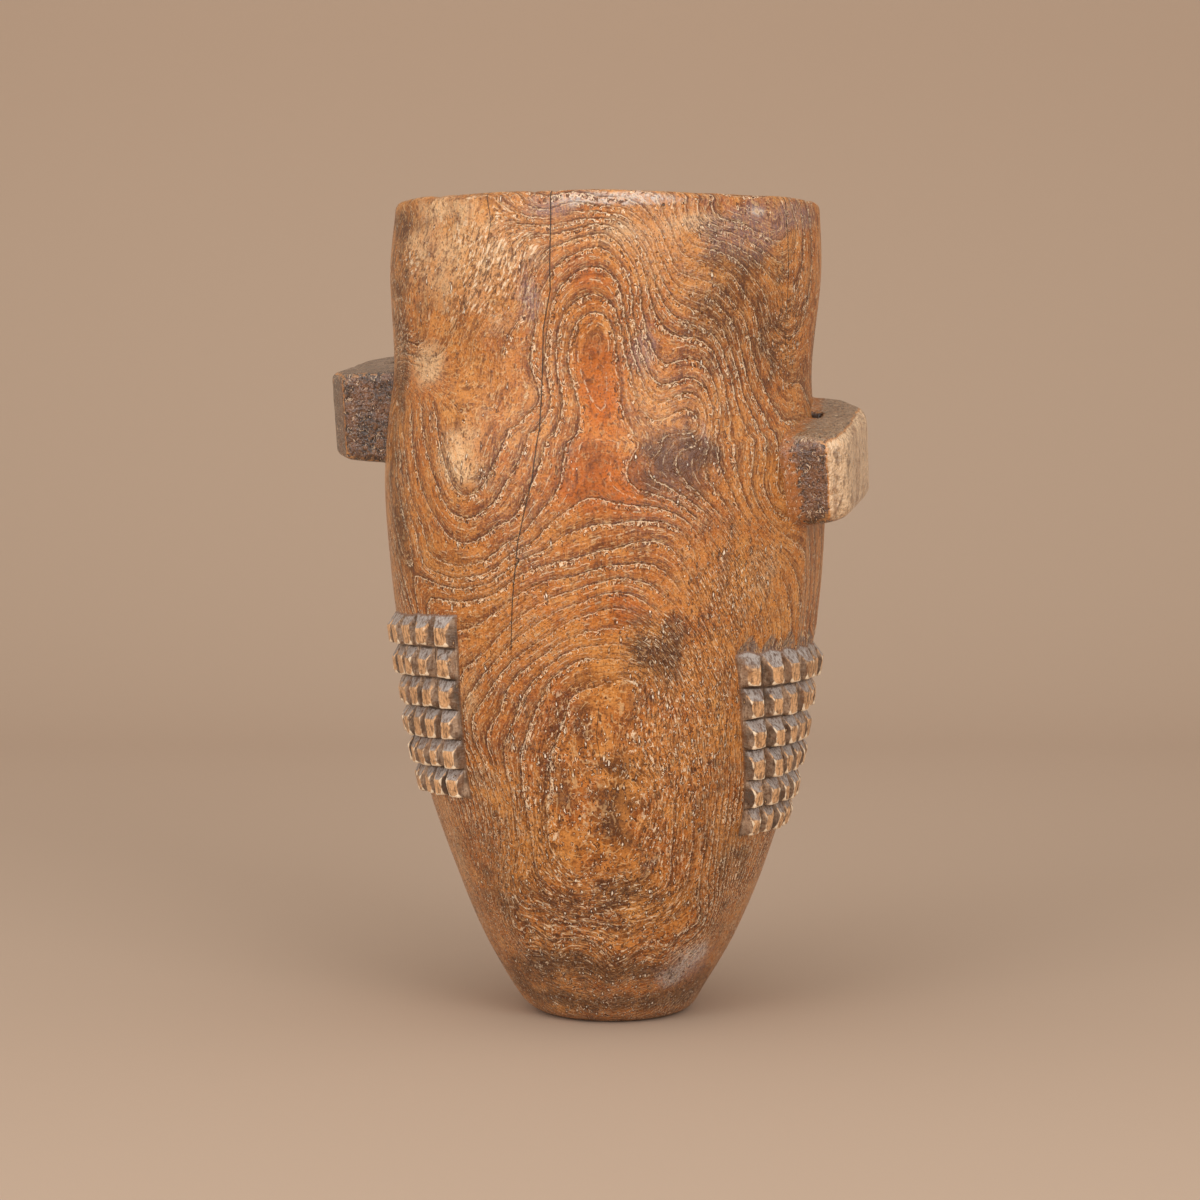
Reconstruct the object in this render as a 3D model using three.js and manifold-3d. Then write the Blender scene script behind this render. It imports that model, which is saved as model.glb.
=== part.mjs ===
// A carved wooden milk pail: a deep vessel that swells at the belly and tapers to a small flat foot,
// with two pierced lugs that the milker's knees hold, and two fields of raised bosses for grip.
// Millimetres, +Z up, origin at the centre of the foot's underside, lugs along X.
import * as THREE from 'three';
import { mergeVertices } from 'three/addons/utils/BufferGeometryUtils.js';
import Module from 'manifold-3d';

const wasm = await Module();
wasm.setup();

// Outside of the wall, from the foot upwards. Each rise is counted from the station below it.
const footFlatRadius = 35;
const footRound = 16;
const footLean = 33; // degrees that the wall leans outwards where it leaves the foot
const heelRise = 38;
const heelRadius = 70;
const taperRise = 50;
const taperRadius = 90;
const shoulderRise = 44;
const shoulderRadius = 102.3;
const flankRise = 80;
const flankRadius = 114.8;
const bellyRise = 71;
const bellyRadius = 119.4;
const waistRise = 57;
const waistRadius = 113.2;
const flareRise = 52;
const flareRadius = 116.5;
const rimRise = 35;
const rimRadius = 114.5;

// Rim and hollow
const rimRound = 4; // outer edge of the rim
const lipRound = 3; // inner edge of the rim
const rimWall = 10;
const lowerWall = 15;
const floorThickness = 26;
const bowlRise = 55; // height over which the hollow closes to its floor

// Lugs. Height is above the foot, the slot lies against the wall and the strap outside it, tilt turns
// the lug about its own reach, and wedge is how much taller one end is than the other.
const lugLength = 85;
const lugCorner = 18; // upright corners
const lugEdge = 6; // edges along the reach
const lugBevel = 5; // edges round the outer face
const slotLength = 26;
const slotCorner = 3;
const slotShift = 10; // from the middle of the lug towards the pail's back
const rightLug = {
  azimuth: 0,
  height: 299.5,
  tilt: 12.5,
  rootHeight: 52,
  noseHeight: 48,
  wedge: 8,
  slotWidth: 8,
  strap: 11.5,
  back: 1,
};
const leftLug = {
  azimuth: 180,
  height: 330,
  tilt: -8.5,
  rootHeight: 50,
  noseHeight: 46,
  wedge: 0,
  slotWidth: 12,
  strap: 19.6,
  back: -1,
};

// Boss fields. A boss is one truncated pyramid; its width and rise shrink from the top row to the foot row.
const bossRows = 6;
const bossColumns = 12;
const bossRelief = 4.8; // from the wall to the boss's face
const grooveRelief = 0.9; // from the wall to the bottom of the grooves
const bossSlope = 3.6; // width of the sloping sides
const rightField = {
  top: 202,
  topAzimuth: 14,
  footAzimuth: 23.5,
  topWidth: 17,
  footWidth: 13.6,
  topRise: 17.3,
  footRise: 15.2,
  rowLean: 0,
};
const leftField = {
  top: 218.5,
  topAzimuth: 192.5,
  footAzimuth: 189.5,
  topWidth: 17.2,
  footWidth: 14.5,
  topRise: 16.8,
  footRise: 15.4,
  rowLean: 0.6, // climb of a row from one column to the next
};

const seatGap = 0.3; // between the wall and what stands on it
const around = 80; // facets round the pail
const stepsPerRise = 3; // facets up each rise of the wall
const arcSteps = 4; // facets in a quarter round

const radians = THREE.MathUtils.degToRad;
const lerp = THREE.MathUtils.lerp;

// Wall outline

function arc(centreR, centreZ, radius, fromDegrees, toDegrees) {
  const points = [];
  for (let i = 0; i <= arcSteps; i += 1) {
    const angle = radians(lerp(fromDegrees, toDegrees, i / arcSteps));
    points.push(new THREE.Vector2(centreR + radius * Math.cos(angle), centreZ + radius * Math.sin(angle)));
  }
  return points;
}

const footArc = arc(footFlatRadius, footRound, footRound, -90, -footLean);
const footEnd = footArc[arcSteps];

const stations = [footEnd];
[
  [heelRise, heelRadius],
  [taperRise, taperRadius],
  [shoulderRise, shoulderRadius],
  [flankRise, flankRadius],
  [bellyRise, bellyRadius],
  [waistRise, waistRadius],
  [flareRise, flareRadius],
  [rimRise, rimRadius],
].forEach(([rise, radius]) => {
  const below = stations[stations.length - 1];
  stations.push(new THREE.Vector2(radius, below.y + rise));
});

const wallCurve = new THREE.SplineCurve(stations);
const rimEdge = stations[stations.length - 1];
const pailHeight = rimEdge.y + rimRound;

// Outer radius of the wall at a height above the foot.
function wallRadius(z) {
  let low = 0;
  let high = 1;
  for (let i = 0; i < 24; i += 1) {
    const middle = (low + high) / 2;
    if (wallCurve.getPoint(middle).y < z) low = middle;
    else high = middle;
  }
  return wallCurve.getPoint(low).x;
}

function wallThickness(z) {
  return lerp(lowerWall, rimWall, (z - floorThickness) / (pailHeight - floorThickness));
}

function outerWall() {
  return wallCurve.getPoints(stepsPerRise * (stations.length - 1));
}

// The hollow from just under the lip down to the middle of the floor, where it closes as a bowl.
function innerWall() {
  const points = [];
  const bowlTop = floorThickness + bowlRise;
  const wallTop = pailHeight - lipRound;
  const steps = stepsPerRise * 3;
  for (let i = 1; i <= steps; i += 1) {
    const z = lerp(wallTop, bowlTop, i / steps);
    points.push(new THREE.Vector2(wallRadius(z) - wallThickness(z), z));
  }
  const bowlSteps = arcSteps * 2;
  for (let i = 1; i < bowlSteps; i += 1) {
    const angle = (Math.PI / 2) * (i / bowlSteps);
    const z = floorThickness + bowlRise * (1 - Math.sin(angle));
    points.push(new THREE.Vector2((wallRadius(z) - wallThickness(z)) * Math.cos(angle), z));
  }
  points.push(new THREE.Vector2(0, floorThickness));
  return points;
}

// Solids

// Turns an outline, which starts and ends on the axis, about +Z.
function revolve(outline) {
  return new THREE.LatheGeometry(outline, around).rotateX(Math.PI / 2);
}

function toSolid(geometry) {
  const bare = geometry.clone();
  bare.deleteAttribute('normal');
  bare.deleteAttribute('uv');
  const merged = mergeVertices(bare);
  return new wasm.Manifold(
    new wasm.Mesh({
      numProp: 3,
      vertProperties: new Float32Array(merged.attributes.position.array),
      triVerts: new Uint32Array(merged.index.array),
    }),
  );
}

function toGeometry(solid) {
  const mesh = solid.getMesh();
  const geometry = new THREE.BufferGeometry();
  geometry.setAttribute('position', new THREE.BufferAttribute(mesh.vertProperties, 3));
  geometry.setIndex(new THREE.BufferAttribute(mesh.triVerts, 1));
  const faceted = geometry.toNonIndexed();
  faceted.computeVertexNormals();
  return faceted;
}

function vessel() {
  return revolve([
    new THREE.Vector2(0, 0),
    ...footArc,
    ...outerWall().slice(1),
    ...arc(rimRadius - rimRound, rimEdge.y, rimRound, 0, 90).slice(1),
    ...arc(rimRadius - rimWall + lipRound, pailHeight - lipRound, lipRound, 90, 180),
    ...innerWall(),
  ]);
}

// The wall as a full solid with the seat's gap round it, in the frame of a piece that stands on the
// wall: turned by the piece's azimuth and let down by its height.
function wallCutter(azimuth, height) {
  const outline = [...footArc, ...outerWall().slice(1)].map((p) => new THREE.Vector2(p.x + seatGap, p.y));
  const full = revolve([
    new THREE.Vector2(0, outline[0].y),
    ...outline,
    new THREE.Vector2(0, outline[outline.length - 1].y),
  ]);
  full.rotateZ(-radians(azimuth)).translate(0, 0, -height);
  return toSolid(full);
}

// Lugs, in a frame with x along the reach, y along the lug and z up from its middle

// An outline through the given corners, each rounded off by the given length along its sides.
function roundedOutline(corners, round) {
  const shape = new THREE.Shape();
  corners.forEach((corner, i) => {
    const before = corners[(i + corners.length - 1) % corners.length];
    const after = corners[(i + 1) % corners.length];
    const start = before.clone().sub(corner).setLength(round).add(corner);
    const end = after.clone().sub(corner).setLength(round).add(corner);
    if (i === 0) shape.moveTo(start.x, start.y);
    else shape.lineTo(start.x, start.y);
    shape.quadraticCurveTo(corner.x, corner.y, end.x, end.y);
  });
  shape.closePath();
  return shape;
}

function rectangle(nearX, farX, halfLength) {
  return [
    new THREE.Vector2(nearX, -halfLength),
    new THREE.Vector2(farX, -halfLength),
    new THREE.Vector2(farX, halfLength),
    new THREE.Vector2(nearX, halfLength),
  ];
}

function upright(outline, height) {
  const settings = { depth: height, bevelEnabled: false, curveSegments: arcSteps };
  return new THREE.ExtrudeGeometry(outline, settings).translate(0, 0, -height / 2);
}

// The lug seen from outside, run inwards from its rounded outer face and grown towards its root.
function lugBlock({ rootHeight, noseHeight, wedge }, seat, reach, buried) {
  const halfLength = lugLength / 2 - lugBevel;
  const lowHalf = (rootHeight - wedge / 2) / 2 - lugBevel;
  const tallHalf = (rootHeight + wedge / 2) / 2 - lugBevel;
  const face = roundedOutline(
    [
      new THREE.Vector2(-halfLength, -lowHalf),
      new THREE.Vector2(halfLength, -tallHalf),
      new THREE.Vector2(halfLength, tallHalf),
      new THREE.Vector2(-halfLength, lowHalf),
    ],
    lugEdge,
  );
  const block = new THREE.ExtrudeGeometry(face, {
    depth: reach - buried - 2 * lugBevel,
    bevelThickness: lugBevel,
    bevelSize: lugBevel,
    bevelSegments: 2,
    curveSegments: arcSteps,
  });
  block.rotateX(Math.PI / 2).rotateZ(Math.PI / 2).translate(buried + lugBevel, 0, 0);
  const points = block.attributes.position;
  for (let i = 0; i < points.count; i += 1) {
    const share = (points.getX(i) - seat) / (reach - seat);
    points.setZ(i, points.getZ(i) * lerp(1, noseHeight / rootHeight, share));
  }
  return block;
}

function lug(spec) {
  const seat = wallRadius(spec.height);
  const strapSeat = seat + spec.slotWidth;
  const reach = strapSeat + spec.strap;
  const buried = seat / 2;
  const tall = spec.rootHeight * 3;
  const plan = upright(roundedOutline(rectangle(buried, reach, lugLength / 2), lugCorner), tall);
  const slotPlan = rectangle(buried, strapSeat, slotLength / 2);
  const slot = upright(roundedOutline(slotPlan, slotCorner), tall).translate(0, spec.back * slotShift, 0);
  const whole = toSolid(lugBlock(spec, seat, reach, buried));
  const block = whole.intersect(toSolid(plan)).rotate([spec.tilt, 0, 0]);
  return toGeometry(block.subtract(toSolid(slot)).subtract(wallCutter(spec.azimuth, spec.height)));
}

// Boss fields

// Sizes at a row line, which is counted from the top of the field.
function rowLine(field, row) {
  const share = row / bossRows;
  const rise = lerp(field.topRise, field.footRise, share / 2); // average rise of the rows above the line
  return {
    z: field.top - row * rise,
    azimuth: lerp(field.topAzimuth, field.footAzimuth, share),
    width: lerp(field.topWidth, field.footWidth, share),
  };
}

// A point of the field at a row, a column and a height over the wall. The field's own frame is turned
// by its top azimuth and let down by its top. Rows and columns may be fractions.
function fieldPoint(field, row, column, relief) {
  const { z, azimuth, width } = rowLine(field, row);
  const fromMiddle = column - bossColumns / 2;
  const height = z + fromMiddle * field.rowLean;
  const radius = wallRadius(height);
  const turn = radians(azimuth - field.topAzimuth) + (fromMiddle * width) / radius;
  return [(radius + relief) * Math.cos(turn), (radius + relief) * Math.sin(turn), height - field.top];
}

function bossField(field) {
  const positions = [];
  const quad = (a, b, c, d) => positions.push(...a, ...b, ...c, ...a, ...c, ...d);
  const buried = -2 * bossRelief;
  const at = (row, column, relief) => fieldPoint(field, row, column, relief);
  const halves = [0, 0.5, 1];

  for (let row = 0; row < bossRows; row += 1) {
    for (let column = 0; column < bossColumns; column += 1) {
      const { width } = rowLine(field, row + 0.5);
      const rise = rowLine(field, row).z - rowLine(field, row + 1).z;
      const acrossInset = bossSlope / width;
      const upInset = bossSlope / rise;
      const bossTop = row + upInset;
      const bossFoot = row + 1 - upInset;
      const faceColumns = halves.map((h) => column + lerp(acrossInset, 1 - acrossInset, h));
      const baseColumns = halves.map((h) => column + h);
      const face = (r, k) => at(r, faceColumns[k], bossRelief);
      const base = (r, k) => at(r, baseColumns[k], grooveRelief);
      for (let k = 0; k < 2; k += 1) {
        quad(face(bossFoot, k), face(bossFoot, k + 1), face(bossTop, k + 1), face(bossTop, k));
        quad(face(bossTop, k), face(bossTop, k + 1), base(row, k + 1), base(row, k));
        quad(base(row + 1, k), base(row + 1, k + 1), face(bossFoot, k + 1), face(bossFoot, k));
        quad(
          at(row, baseColumns[k], buried),
          at(row, baseColumns[k + 1], buried),
          at(row + 1, baseColumns[k + 1], buried),
          at(row + 1, baseColumns[k], buried),
        );
      }
      quad(base(row + 1, 0), face(bossFoot, 0), face(bossTop, 0), base(row, 0));
      quad(face(bossFoot, 2), base(row + 1, 2), base(row, 2), face(bossTop, 2));
    }
  }

  // Walls round the field's edge, from the grooves down into the pail
  const edge = (row, column, nextRow, nextColumn) =>
    quad(
      at(row, column, buried),
      at(nextRow, nextColumn, buried),
      at(nextRow, nextColumn, grooveRelief),
      at(row, column, grooveRelief),
    );
  for (let column = 0; column < bossColumns; column += 0.5) {
    edge(bossRows, column, bossRows, column + 0.5);
    edge(0, column + 0.5, 0, column);
  }
  for (let row = 0; row < bossRows; row += 1) {
    edge(row + 1, bossColumns, row, bossColumns);
    edge(row, 0, row + 1, 0);
  }

  const geometry = new THREE.BufferGeometry();
  geometry.setAttribute('position', new THREE.Float32BufferAttribute(positions, 3));
  return toGeometry(toSolid(geometry).subtract(wallCutter(field.topAzimuth, field.top)));
}

// Assembly

const oiledWood = new THREE.MeshStandardMaterial({ color: 0x9a6236, roughness: 0.55, metalness: 0 });
const handledWood = new THREE.MeshStandardMaterial({ color: 0x6e4f38, roughness: 0.45, metalness: 0 });
const wornWood = new THREE.MeshStandardMaterial({ color: 0x8a6546, roughness: 0.6, metalness: 0 });

function place(name, geometry, material, azimuth = 0, height = 0) {
  const mesh = new THREE.Mesh(geometry, material);
  mesh.name = name;
  mesh.rotation.z = radians(azimuth);
  mesh.position.z = height;
  return mesh;
}

const pail = new THREE.Group();
pail.add(place('pail_body', vessel(), oiledWood));

const lugs = new THREE.Group();
lugs.add(place('right_lug', lug(rightLug), handledWood, rightLug.azimuth, rightLug.height));
lugs.add(place('left_lug', lug(leftLug), handledWood, leftLug.azimuth, leftLug.height));
pail.add(lugs);

const fields = new THREE.Group();
fields.add(place('right_boss_field', bossField(rightField), wornWood, rightField.topAzimuth, rightField.top));
fields.add(place('left_boss_field', bossField(leftField), wornWood, leftField.topAzimuth, leftField.top));
pail.add(fields);

export default pail;
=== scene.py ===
import math

import bpy
import numpy as np
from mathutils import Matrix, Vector


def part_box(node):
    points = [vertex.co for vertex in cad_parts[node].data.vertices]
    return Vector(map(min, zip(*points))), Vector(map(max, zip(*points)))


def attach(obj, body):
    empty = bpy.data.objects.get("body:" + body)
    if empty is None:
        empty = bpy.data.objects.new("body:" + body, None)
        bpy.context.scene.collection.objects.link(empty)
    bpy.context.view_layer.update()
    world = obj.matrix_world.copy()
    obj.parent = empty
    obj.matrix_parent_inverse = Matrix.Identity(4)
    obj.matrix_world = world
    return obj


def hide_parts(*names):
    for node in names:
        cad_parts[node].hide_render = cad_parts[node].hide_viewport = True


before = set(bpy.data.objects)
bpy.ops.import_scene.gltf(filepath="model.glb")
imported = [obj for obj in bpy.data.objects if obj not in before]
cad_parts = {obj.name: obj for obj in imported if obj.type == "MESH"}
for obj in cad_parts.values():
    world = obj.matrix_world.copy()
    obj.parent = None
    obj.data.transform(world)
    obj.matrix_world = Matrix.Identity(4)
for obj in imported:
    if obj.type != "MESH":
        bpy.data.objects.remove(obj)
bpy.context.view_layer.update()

MM = 0.001
SEED = 11

# The wall's outline, from the foot upwards: each station is a radius and its rise from the one below
FOOT_FLAT = 35 * MM
FOOT_ROUND = 16 * MM
FOOT_LEAN = 33
STATIONS = {
    "heel": (70 * MM, 38 * MM),
    "taper": (90 * MM, 50 * MM),
    "shoulder": (102.3 * MM, 44 * MM),
    "flank": (114.8 * MM, 80 * MM),
    "belly": (119.4 * MM, 71 * MM),
    "waist": (113.2 * MM, 57 * MM),
    "flare": (116.5 * MM, 52 * MM),
    "rim": (114.5 * MM, 35 * MM),
}
RIM_ROUND = 4 * MM
LIP_ROUND = 3 * MM
RIM_WALL = 10 * MM
LOWER_WALL = 15 * MM
FLOOR = 26 * MM
BOWL_RISE = 55 * MM
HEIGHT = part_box("pail_body")[1].z

FRONT = -74  # azimuth that faces the camera, in degrees from +X
RIGHT_HAND = Vector((math.cos(math.radians(FRONT + 90)), math.sin(math.radians(FRONT + 90)), 0))

# How far the log's middle wanders to the right of the axis, by height, in millimetres
WANDER = [
    (0, 2.4), (15, 1.6), (80, 1.3), (160, 0.4), (240, -0.3),
    (300, -1.0), (335, -2.6), (352, -1.8), (385, -0.8), (438, 0.4),
]
MEAN_RADIUS = 116  # millimetres, which turns an angle round the wall into a distance

BOSS_ROWS = 6
BOSS_COLUMNS = 12
# The two fields of bosses: the height of the top edge, then the azimuth, a column's width and a row's rise
# at top and foot, and how much higher each column stands than the last
FIELDS = {
    "right_bosses": {
        "node": "right_boss_field",
        "top": 202 * MM,
        "azimuth": (14, 23.5),
        "width": (17 * MM, 13.6 * MM),
        "rise": (17.3 * MM, 15.2 * MM),
        "lean": 0.0,
    },
    "left_bosses": {
        "node": "left_boss_field",
        "top": 218.5 * MM,
        "azimuth": (192.5, 189.5),
        "width": (17.2 * MM, 14.5 * MM),
        "rise": (16.8 * MM, 15.4 * MM),
        "lean": 0.6 * MM,
    },
}


def catmull_rom(before, start, end, after, t):
    rise_in = (end - before) / 2
    rise_out = (after - start) / 2
    curve = (2 * start - 2 * end + rise_in + rise_out) * t**3
    return curve + (-3 * start + 3 * end - 2 * rise_in - rise_out) * t**2 + rise_in * t + start


def wall_line():
    """Points of the outer wall's outline, (radius, height), from the top of the foot's round to the rim."""
    lean = math.radians(FOOT_LEAN)
    radius = FOOT_FLAT + FOOT_ROUND * math.cos(lean)
    height = FOOT_ROUND * (1 - math.sin(lean))
    line = [np.array((radius, height))]
    for radius, rise in STATIONS.values():
        line.append(np.array((radius, line[-1][1] + rise)))
    points = []
    for i in range(len(line) - 1):
        before = line[max(i - 1, 0)]
        after = line[min(i + 2, len(line) - 1)]
        for t in np.linspace(0, 1, 24, endpoint=False):
            points.append(catmull_rom(before, line[i], line[i + 1], after, t))
    points.append(line[-1])
    return np.array(points)


WALL_LINE = wall_line()


def wall_radius(z):
    return np.interp(z, WALL_LINE[:, 1], WALL_LINE[:, 0])


def wall_thickness(z):
    share = (z - FLOOR) / (HEIGHT - FLOOR)
    return LOWER_WALL + (RIM_WALL - LOWER_WALL) * share


def log_shift(z):
    """How far the log's middle stands off the axis at a height, as x and y."""
    heights, shifts = np.array(WANDER).T * MM
    shift = np.interp(z, heights, shifts)
    return shift * RIGHT_HAND.x, shift * RIGHT_HAND.y


def round_axis(points):
    """The azimuth in degrees, the distance from the axis and the height of each point."""
    x, y, z = np.moveaxis(points, -1, 0)
    return np.degrees(np.arctan2(y, x)), np.hypot(x, y), z


def smooth_step(value, low, high):
    t = np.clip((value - low) / (high - low), 0, 1)
    return t * t * (3 - 2 * t)


def half_turn(degrees):
    """The same angle, from -180 to 180 degrees."""
    return (degrees + 180) % 360 - 180


def turn_from_front(azimuth):
    """Degrees to the right of the pail's front, from -180 to 180."""
    return half_turn(azimuth - FRONT)


def arc_length(degrees):
    """Millimetres along the wall for an angle round it."""
    return np.radians(degrees) * MEAN_RADIUS


# Places on the pail's front, given in pixels of the 1200 x 1200 photograph
CAMERA_TURN = math.radians(16)
CAMERA_PITCH = math.radians(3.86)
CAMERA_FAR = 1504 * MM
CAMERA_HEIGHT = 326.2 * MM
EYE = (math.sin(CAMERA_TURN) * CAMERA_FAR, -math.cos(CAMERA_TURN) * CAMERA_FAR, CAMERA_HEIGHT)
FOCAL_PIXELS = 2760
FRAME_PIXELS = 1200
AXIS_PIXEL = 607


def spots(pixels):
    """Where the wall shows in these pixels: degrees right of the front, and height in millimetres."""
    across, down = np.array(pixels, float).T
    right = np.array((math.cos(CAMERA_TURN), math.sin(CAMERA_TURN), 0))
    level = np.array((-math.sin(CAMERA_TURN), math.cos(CAMERA_TURN), 0))
    ahead = level * math.cos(CAMERA_PITCH) - (0, 0, math.sin(CAMERA_PITCH))
    ray = ahead + np.outer((across - AXIS_PIXEL) / FOCAL_PIXELS, right)
    ray = ray + np.outer((FRAME_PIXELS / 2 - down) / FOCAL_PIXELS, np.cross(right, ahead))
    flat = ray[:, :2]
    z = np.full(len(across), HEIGHT / 2)
    for _ in range(10):
        start = EYE[:2] - np.stack(log_shift(z), -1)
        a = np.sum(flat**2, -1)
        b = np.sum(flat * start, -1)
        c = np.sum(start**2, -1) - wall_radius(z) ** 2
        far = (-b - np.sqrt(np.maximum(b * b - a * c, 0))) / a
        z = np.clip(EYE[2] + far * ray[:, 2], 0, HEIGHT)
    x, y = (start + far[:, None] * flat).T
    return np.stack([turn_from_front(np.degrees(np.arctan2(y, x))), z / MM], -1)


# Hand carving of the outer wall. The shelf that runs across the front between the lugs, in pixels
SHELF_LINE = [
    (400, 379), (418, 388), (440, 392), (465, 398), (490, 412), (510, 428), (545, 437),
    (600, 441), (650, 443), (720, 445), (760, 435), (785, 424), (800, 415),
]
SHELF_SPOTS = spots(SHELF_LINE)
SHELF_DEPTH = 1.1 * MM
SCOOP_DEPTH = 2.0 * MM
SIDE_FLAT = 12  # degrees each way from the right lug's middle
FLAT_FOOT = 204 * MM
FLAT_TOP = 276 * MM
FLAT_EASE = 9 * MM


def lumps(turn, z):
    """Low swells that a blade leaves, which close on themselves round the pail."""
    a = np.radians(turn)
    swell = np.sin(3 * a + 17 * z + 0.6) + 0.8 * np.sin(5 * a - 31 * z + 2.1) + 0.6 * np.sin(8 * a + 44 * z)
    return 0.28 * MM * swell + 0.12 * MM * np.sin(19 * a + 61 * z) * np.sin(83 * z + 2 * a)


def scoops(azimuth, z):
    """The cutter's run-outs over the right boss field, one to a column."""
    field = FIELDS["right_bosses"]
    column = np.radians(azimuth - field["azimuth"][0]) * wall_radius(z) / field["width"][0]
    middle = 1 - np.abs(2 * (column - np.floor(column)) - 1)
    over = z - field["top"]
    inside = (np.abs(column) < BOSS_COLUMNS / 2) * (over > -3 * MM)
    return -SCOOP_DEPTH * middle**0.7 * inside * (1 - smooth_step(over, 2 * MM, (4 + 10 * middle) * MM))


def side_flat(azimuth, z):
    """A narrow flat hewn between the right lug and the bosses."""
    reach = np.clip(np.abs(half_turn(azimuth)) / SIDE_FLAT, 0, 1)
    a = np.radians(reach * SIDE_FLAT)
    fall = wall_radius(z) * (1 - math.cos(math.radians(SIDE_FLAT)) / np.cos(a))
    over = smooth_step(z, FLAT_FOOT, FLAT_FOOT + FLAT_EASE)
    return -fall * over * (1 - smooth_step(z, FLAT_TOP, FLAT_TOP + FLAT_EASE))


def carving(azimuth, z):
    """How far the carved surface stands proud of the plain outline."""
    turn = turn_from_front(azimuth)
    line_turn, line_height = SHELF_SPOTS.T
    over = z / MM - np.interp(turn, line_turn, line_height)
    reach = smooth_step(turn, -66, -52) * (1 - smooth_step(turn, 56, 68))
    shelf = -SHELF_DEPTH * smooth_step(over, -1.2, 1.6) * (1 - smooth_step(over, 8, 34)) * reach
    return lumps(turn, z) + shelf + scoops(azimuth, z) + side_flat(azimuth, z)


def outer_point(azimuth, z, proud=0.0):
    """A point of the carved outer wall, or one that stands proud of it. Azimuth in degrees."""
    a = np.radians(azimuth)
    radius = wall_radius(z) + carving(azimuth, z) + proud
    shift_x, shift_y = log_shift(z)
    return np.stack([radius * np.cos(a) + shift_x, radius * np.sin(a) + shift_y, z], -1)


def above_wall(points):
    """How far points stand proud of the carved wall."""
    x, y, z = np.moveaxis(points, -1, 0)
    shift_x, shift_y = log_shift(z)
    azimuth, radius, z = round_axis(np.stack([x - shift_x, y - shift_y, z], -1))
    return radius - wall_radius(z) - carving(azimuth, z)


# Node trees


class Tree:
    """Adds nodes to a tree and joins them as they are called for."""

    def __init__(self, tree):
        self.tree = tree

    def feed(self, socket, value):
        if isinstance(value, bpy.types.NodeSocket):
            self.tree.links.new(value, socket)
        elif value is not None:
            socket.default_value = value

    def node(self, kind, inputs=None, **settings):
        made = self.tree.nodes.new(kind)
        for name, value in settings.items():
            setattr(made, name, value)
        for key, value in (inputs or {}).items():
            self.feed(made.inputs[key], value)
        return made

    def math(self, operation, a, b=None):
        return self.node("ShaderNodeMath", {0: a, 1: b}, operation=operation).outputs[0]

    def times(self, value, *others):
        for other in others:
            value = self.math("MULTIPLY", value, other)
        return value

    def plus(self, value, *others):
        for other in others:
            value = self.math("ADD", value, other)
        return value

    def minus(self, a, b):
        return self.math("SUBTRACT", a, b)

    def vector(self, operation, a, b=None, scale=None):
        made = self.node("ShaderNodeVectorMath", {0: a, 1: b}, operation=operation)
        if scale is not None:
            self.feed(made.inputs["Scale"], scale)
        return made.outputs["Value"] if operation in ("LENGTH", "DOT_PRODUCT") else made.outputs[0]

    def shape(self, kind, inputs, **settings):
        """Adds a geometry node and returns its first output, which is the shape."""
        return self.node("GeometryNode" + kind, inputs, **settings).outputs[0]

    def luck(self, seed, middle, reach):
        """A random number for each element, within a reach either side of a middle."""
        made = self.node("FunctionNodeRandomValue", {"Seed": seed}, data_type="FLOAT")
        self.feed(made.inputs[2], self.minus(middle, reach))
        self.feed(made.inputs[3], self.plus(middle, reach))
        return made.outputs[1]


def start_tree(name, inputs):
    """A geometry tree with these named inputs: its builder, the inputs' identifiers and their sockets."""
    group = bpy.data.node_groups.new(name, "GeometryNodeTree")
    ids = {}
    for label, (kind, value) in inputs.items():
        socket = group.interface.new_socket(label, in_out="INPUT", socket_type="NodeSocket" + kind)
        if value is not None:
            socket.default_value = value
        ids[label] = socket.identifier
    tree = Tree(group)
    return tree, ids, tree.node("NodeGroupInput").outputs


def end_tree(tree, label, shape, wood):
    """Smooths and realizes the tree's shape, gives it its wood and hands it out."""
    tree.tree.interface.new_socket(label, in_out="OUTPUT", socket_type="NodeSocketGeometry")
    smooth = tree.shape("SetShadeSmooth", {"Geometry": shape})
    plain = tree.shape("RealizeInstances", {"Geometry": smooth})
    dressed = tree.shape("SetMaterial", {"Geometry": plain, "Material": wood})
    tree.node("NodeGroupOutput", {label: dressed})


def add_object(name, data):
    made = bpy.data.objects.new(name, data)
    bpy.context.scene.collection.objects.link(made)
    return made


def run_tree(source, tree, values, name):
    """Puts the tree on the source object with these input values, and returns the result as an object."""
    modifier = source.modifiers.new(tree.name, "NODES")
    modifier.node_group = tree
    for identifier, value in values.items():
        modifier[identifier] = value
    bpy.context.view_layer.update()
    evaluated = source.evaluated_get(bpy.context.evaluated_depsgraph_get())
    mesh = bpy.data.meshes.new_from_object(evaluated)
    bpy.data.objects.remove(source)
    mesh.name = name
    return add_object(name, mesh)


def new_object(name, points, edges, faces):
    mesh = bpy.data.meshes.new(name)
    mesh.from_pydata([tuple(p) for p in points], edges, faces)
    mesh.update()
    return add_object(name, mesh)


def read_rows(items, name, width, kind=np.float32):
    """A property of a mesh's points or edges, one row for each."""
    flat = np.empty(len(items) * width, kind)
    items.foreach_get(name, flat)
    return flat.reshape(-1, width)


def read_points(mesh):
    return read_rows(mesh.vertices, "co", 3).astype(float)


def read_normals(mesh):
    return read_rows(mesh.vertices, "normal", 3)


def write_points(mesh, points):
    mesh.vertices.foreach_set("co", points.astype(np.float32).ravel())
    mesh.update()


def write_attribute(mesh, name, values):
    layer = mesh.attributes.get(name) or mesh.attributes.new(name, "FLOAT", "POINT")
    layer.data.foreach_set("value", np.asarray(values, np.float32))


# Pail body: the outline turned round the axis, then carved

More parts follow.
